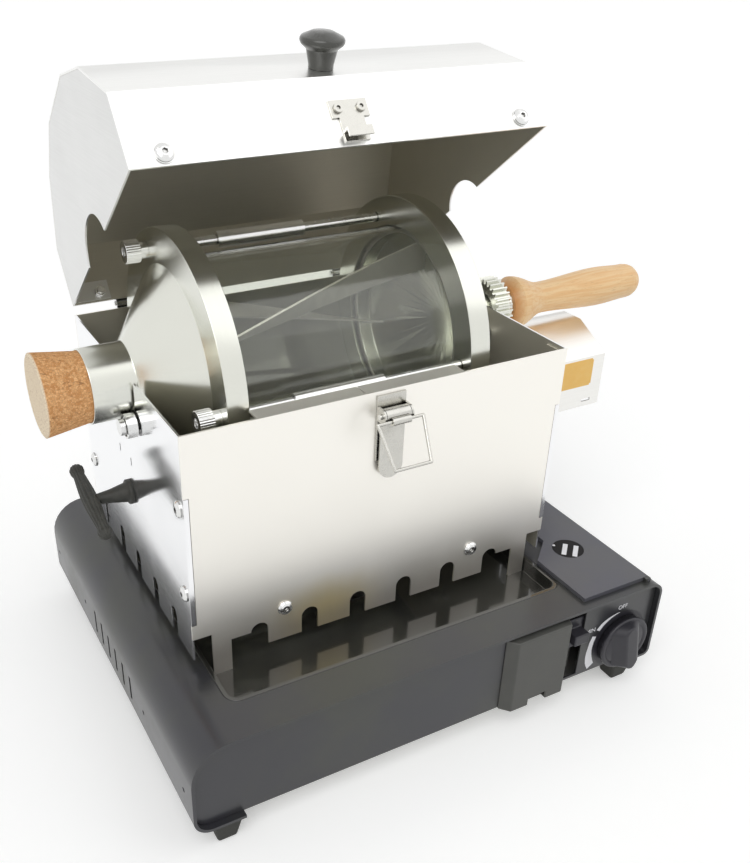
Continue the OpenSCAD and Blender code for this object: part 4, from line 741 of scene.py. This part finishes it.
beech = Finish("beech", Specular_IOR_Level=0.35)
along, _, _ = beech.axes()
wander = beech.grain(beech.stretched(9, 30, 30), 1, 3)
years = beech.node("ShaderNodeTexNoise", {}, {"Vector": beech.stretched(16, 420, 420), "Scale": 1.0,
    "Detail": 4.0, "Distortion": 0.6})
flecks = beech.grain(beech.stretched(90, 2400, 2400), 1, 2).between(0.6, 0.75)
RIM_WIDE = 7 * MM
wood_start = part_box("wood_handle")[0].x
rim = 1 - along.between(wood_start, wood_start + RIM_WIDE)
body_colour = beech.tint(years.between(0.35, 0.7) * 0.7 + wander * 0.25, (0.93, 0.66, 0.36),
    (0.85, 0.50, 0.22))
edge_colour = beech.tint(rim * 0.8, body_colour, (0.60, 0.24, 0.06))
beech.put(Base_Color=beech.tint(flecks * 0.35, edge_colour, (0.30, 0.14, 0.05)),
    Roughness=0.36 + years * 0.14, Coat_Weight=0.15)
beech.bumped(years, 0.08 * MM, 0.5)
coat(beech, "wood_handle")


# ---------------------------------------------------------------- cork
# The stopper is pressed cork: pale and brown crumbs glued together, pitted where crumbs
# have broken out, and paler on its sawn end.

CRUMB = 1.3 * MM
cork = Finish("cork", Specular_IOR_Level=0.15)
along, _, _ = cork.axes()
crumbs = cork.node("ShaderNodeTexVoronoi", {}, {"Vector": cork.place(), "Scale": 1 / CRUMB}, out="Color")
shade = cork.node("ShaderNodeSeparateXYZ", inputs=[crumbs])
seams = cork.node("ShaderNodeTexVoronoi", {"feature": "DISTANCE_TO_EDGE"},
    {"Vector": cork.place(), "Scale": 1 / CRUMB}, out="Distance").between(0.0, 0.1) * 0.5 + 0.5
cork_low, cork_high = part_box("cork_stopper")
sawn = 1 - along.between(cork_low.x + 0.3 * MM, cork_low.x + 1.4 * MM)
crumb_colour = cork.tint(shade, (0.64, 0.30, 0.11), (0.90, 0.53, 0.25))
end_colour = cork.tint(sawn * 0.95, crumb_colour, (1.0, 0.87, 0.66))
cracks = cork.grain(cork.stretched(160, 520, 520), 1, 3).between(0.60, 0.72)
glued = cork.tint(seams, (0.34, 0.16, 0.08), end_colour)
cork.put(Base_Color=cork.tint(cracks * (1 - sawn * 0.8) * 0.7, glued, (0.24, 0.10, 0.04)), Roughness=0.85)

CORK_RINGS, CORK_STEPS, CORK_CHAMFER, CORK_IN_MOUTH_R = 44, 200, 0.6 * MM, 21.2 * MM
PIT, WIDE_PITS, SMALL_PITS = 0.35 * MM, 520, 1300
cork_length = cork_high.x - cork_low.x
end_r = (cork_high.y - cork_low.y) / 2
mouth_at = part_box("drum_cone")[0].x - cork_low.x
outline = [(end_r * share, 0.0) for share in (0.02, 0.15, 0.3, 0.45, 0.6, 0.72, 0.82, 0.9, 0.955)]
for step in range(CORK_RINGS + 1):
    at = CORK_CHAMFER + (cork_length - CORK_CHAMFER) * step / CORK_RINGS
    outline.append((end_r + (CORK_IN_MOUTH_R - end_r) * at / mouth_at, at))
outline += [(outline[-1][0] * share, cork_length) for share in (0.9, 0.6, 0.3, 0.02)]
stopper = turned("cork_stopper_piece", outline, cork, steps=CORK_STEPS)
for vertex in stopper.data.vertices:
    crumbly = noise.noise(vertex.co * WIDE_PITS) + 0.6 * noise.noise(vertex.co * SMALL_PITS)
    inwards = Vector((-vertex.co.x, -vertex.co.y, 0))
    if inwards.length > SAME_POINT:
        vertex.co += inwards.normalized() * PIT * max(0.0, crumbly)
stopper.data.transform(Matrix.Translation((cork_low.x, axis_y, axis_z))
    @ Matrix.Rotation(math.pi / 2, 4, "Y"))
settle(stopper, "cork_stopper")


# ---------------------------------------------------------------- lid
# The hinged hood: one folded stainless sheet with two end plates, bright outside and darker
# inside, with a black turned knob, a catch for the latch and screws with washers.

lid_steel = brushed("lid_steel", (0.92, 0.92, 0.90), LEVEL_X, 0.24)
lid_end_steel = brushed("lid_end_steel", (0.75, 0.75, 0.74), LEVEL_Y, 0.24)
left_low, left_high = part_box("lid_left_end")
hood_middle = (left_low + left_high) / 2


def hood_looks_in(face):
    """Whether a face of the hood looks to its hollow side, judged square to its length."""
    centre = face.calc_center_median()
    across = Vector((0, hood_middle.y - centre.y, hood_middle.z - centre.z))
    return abs(face.normal.x) < 0.5 and face.normal.dot(across.normalized()) > 0.25


eased("lid_hood", EDGE, lid_steel, 2, inner_steel, hood_looks_in)
eased("lid_left_end", EDGE, lid_end_steel, 2, inner_steel, lambda face: face.normal.x > 0.5)
eased("lid_right_end", EDGE, lid_end_steel, 2, inner_steel, lambda face: face.normal.x < -0.5)
# In the darker copy of the plated steel: painted shade.
coat(shade_darkened_latch_steel, "lid_catch")
coat(hardware, "lid_screws")
lid_knob_black = moulded("lid_knob_black", (0.045, 0.045, 0.038), 0.22)
lid_knob_black.put(Coat_Weight=0.4, Coat_Roughness=0.1)
eased("lid_knob", 0.5 * MM, lid_knob_black, 3)
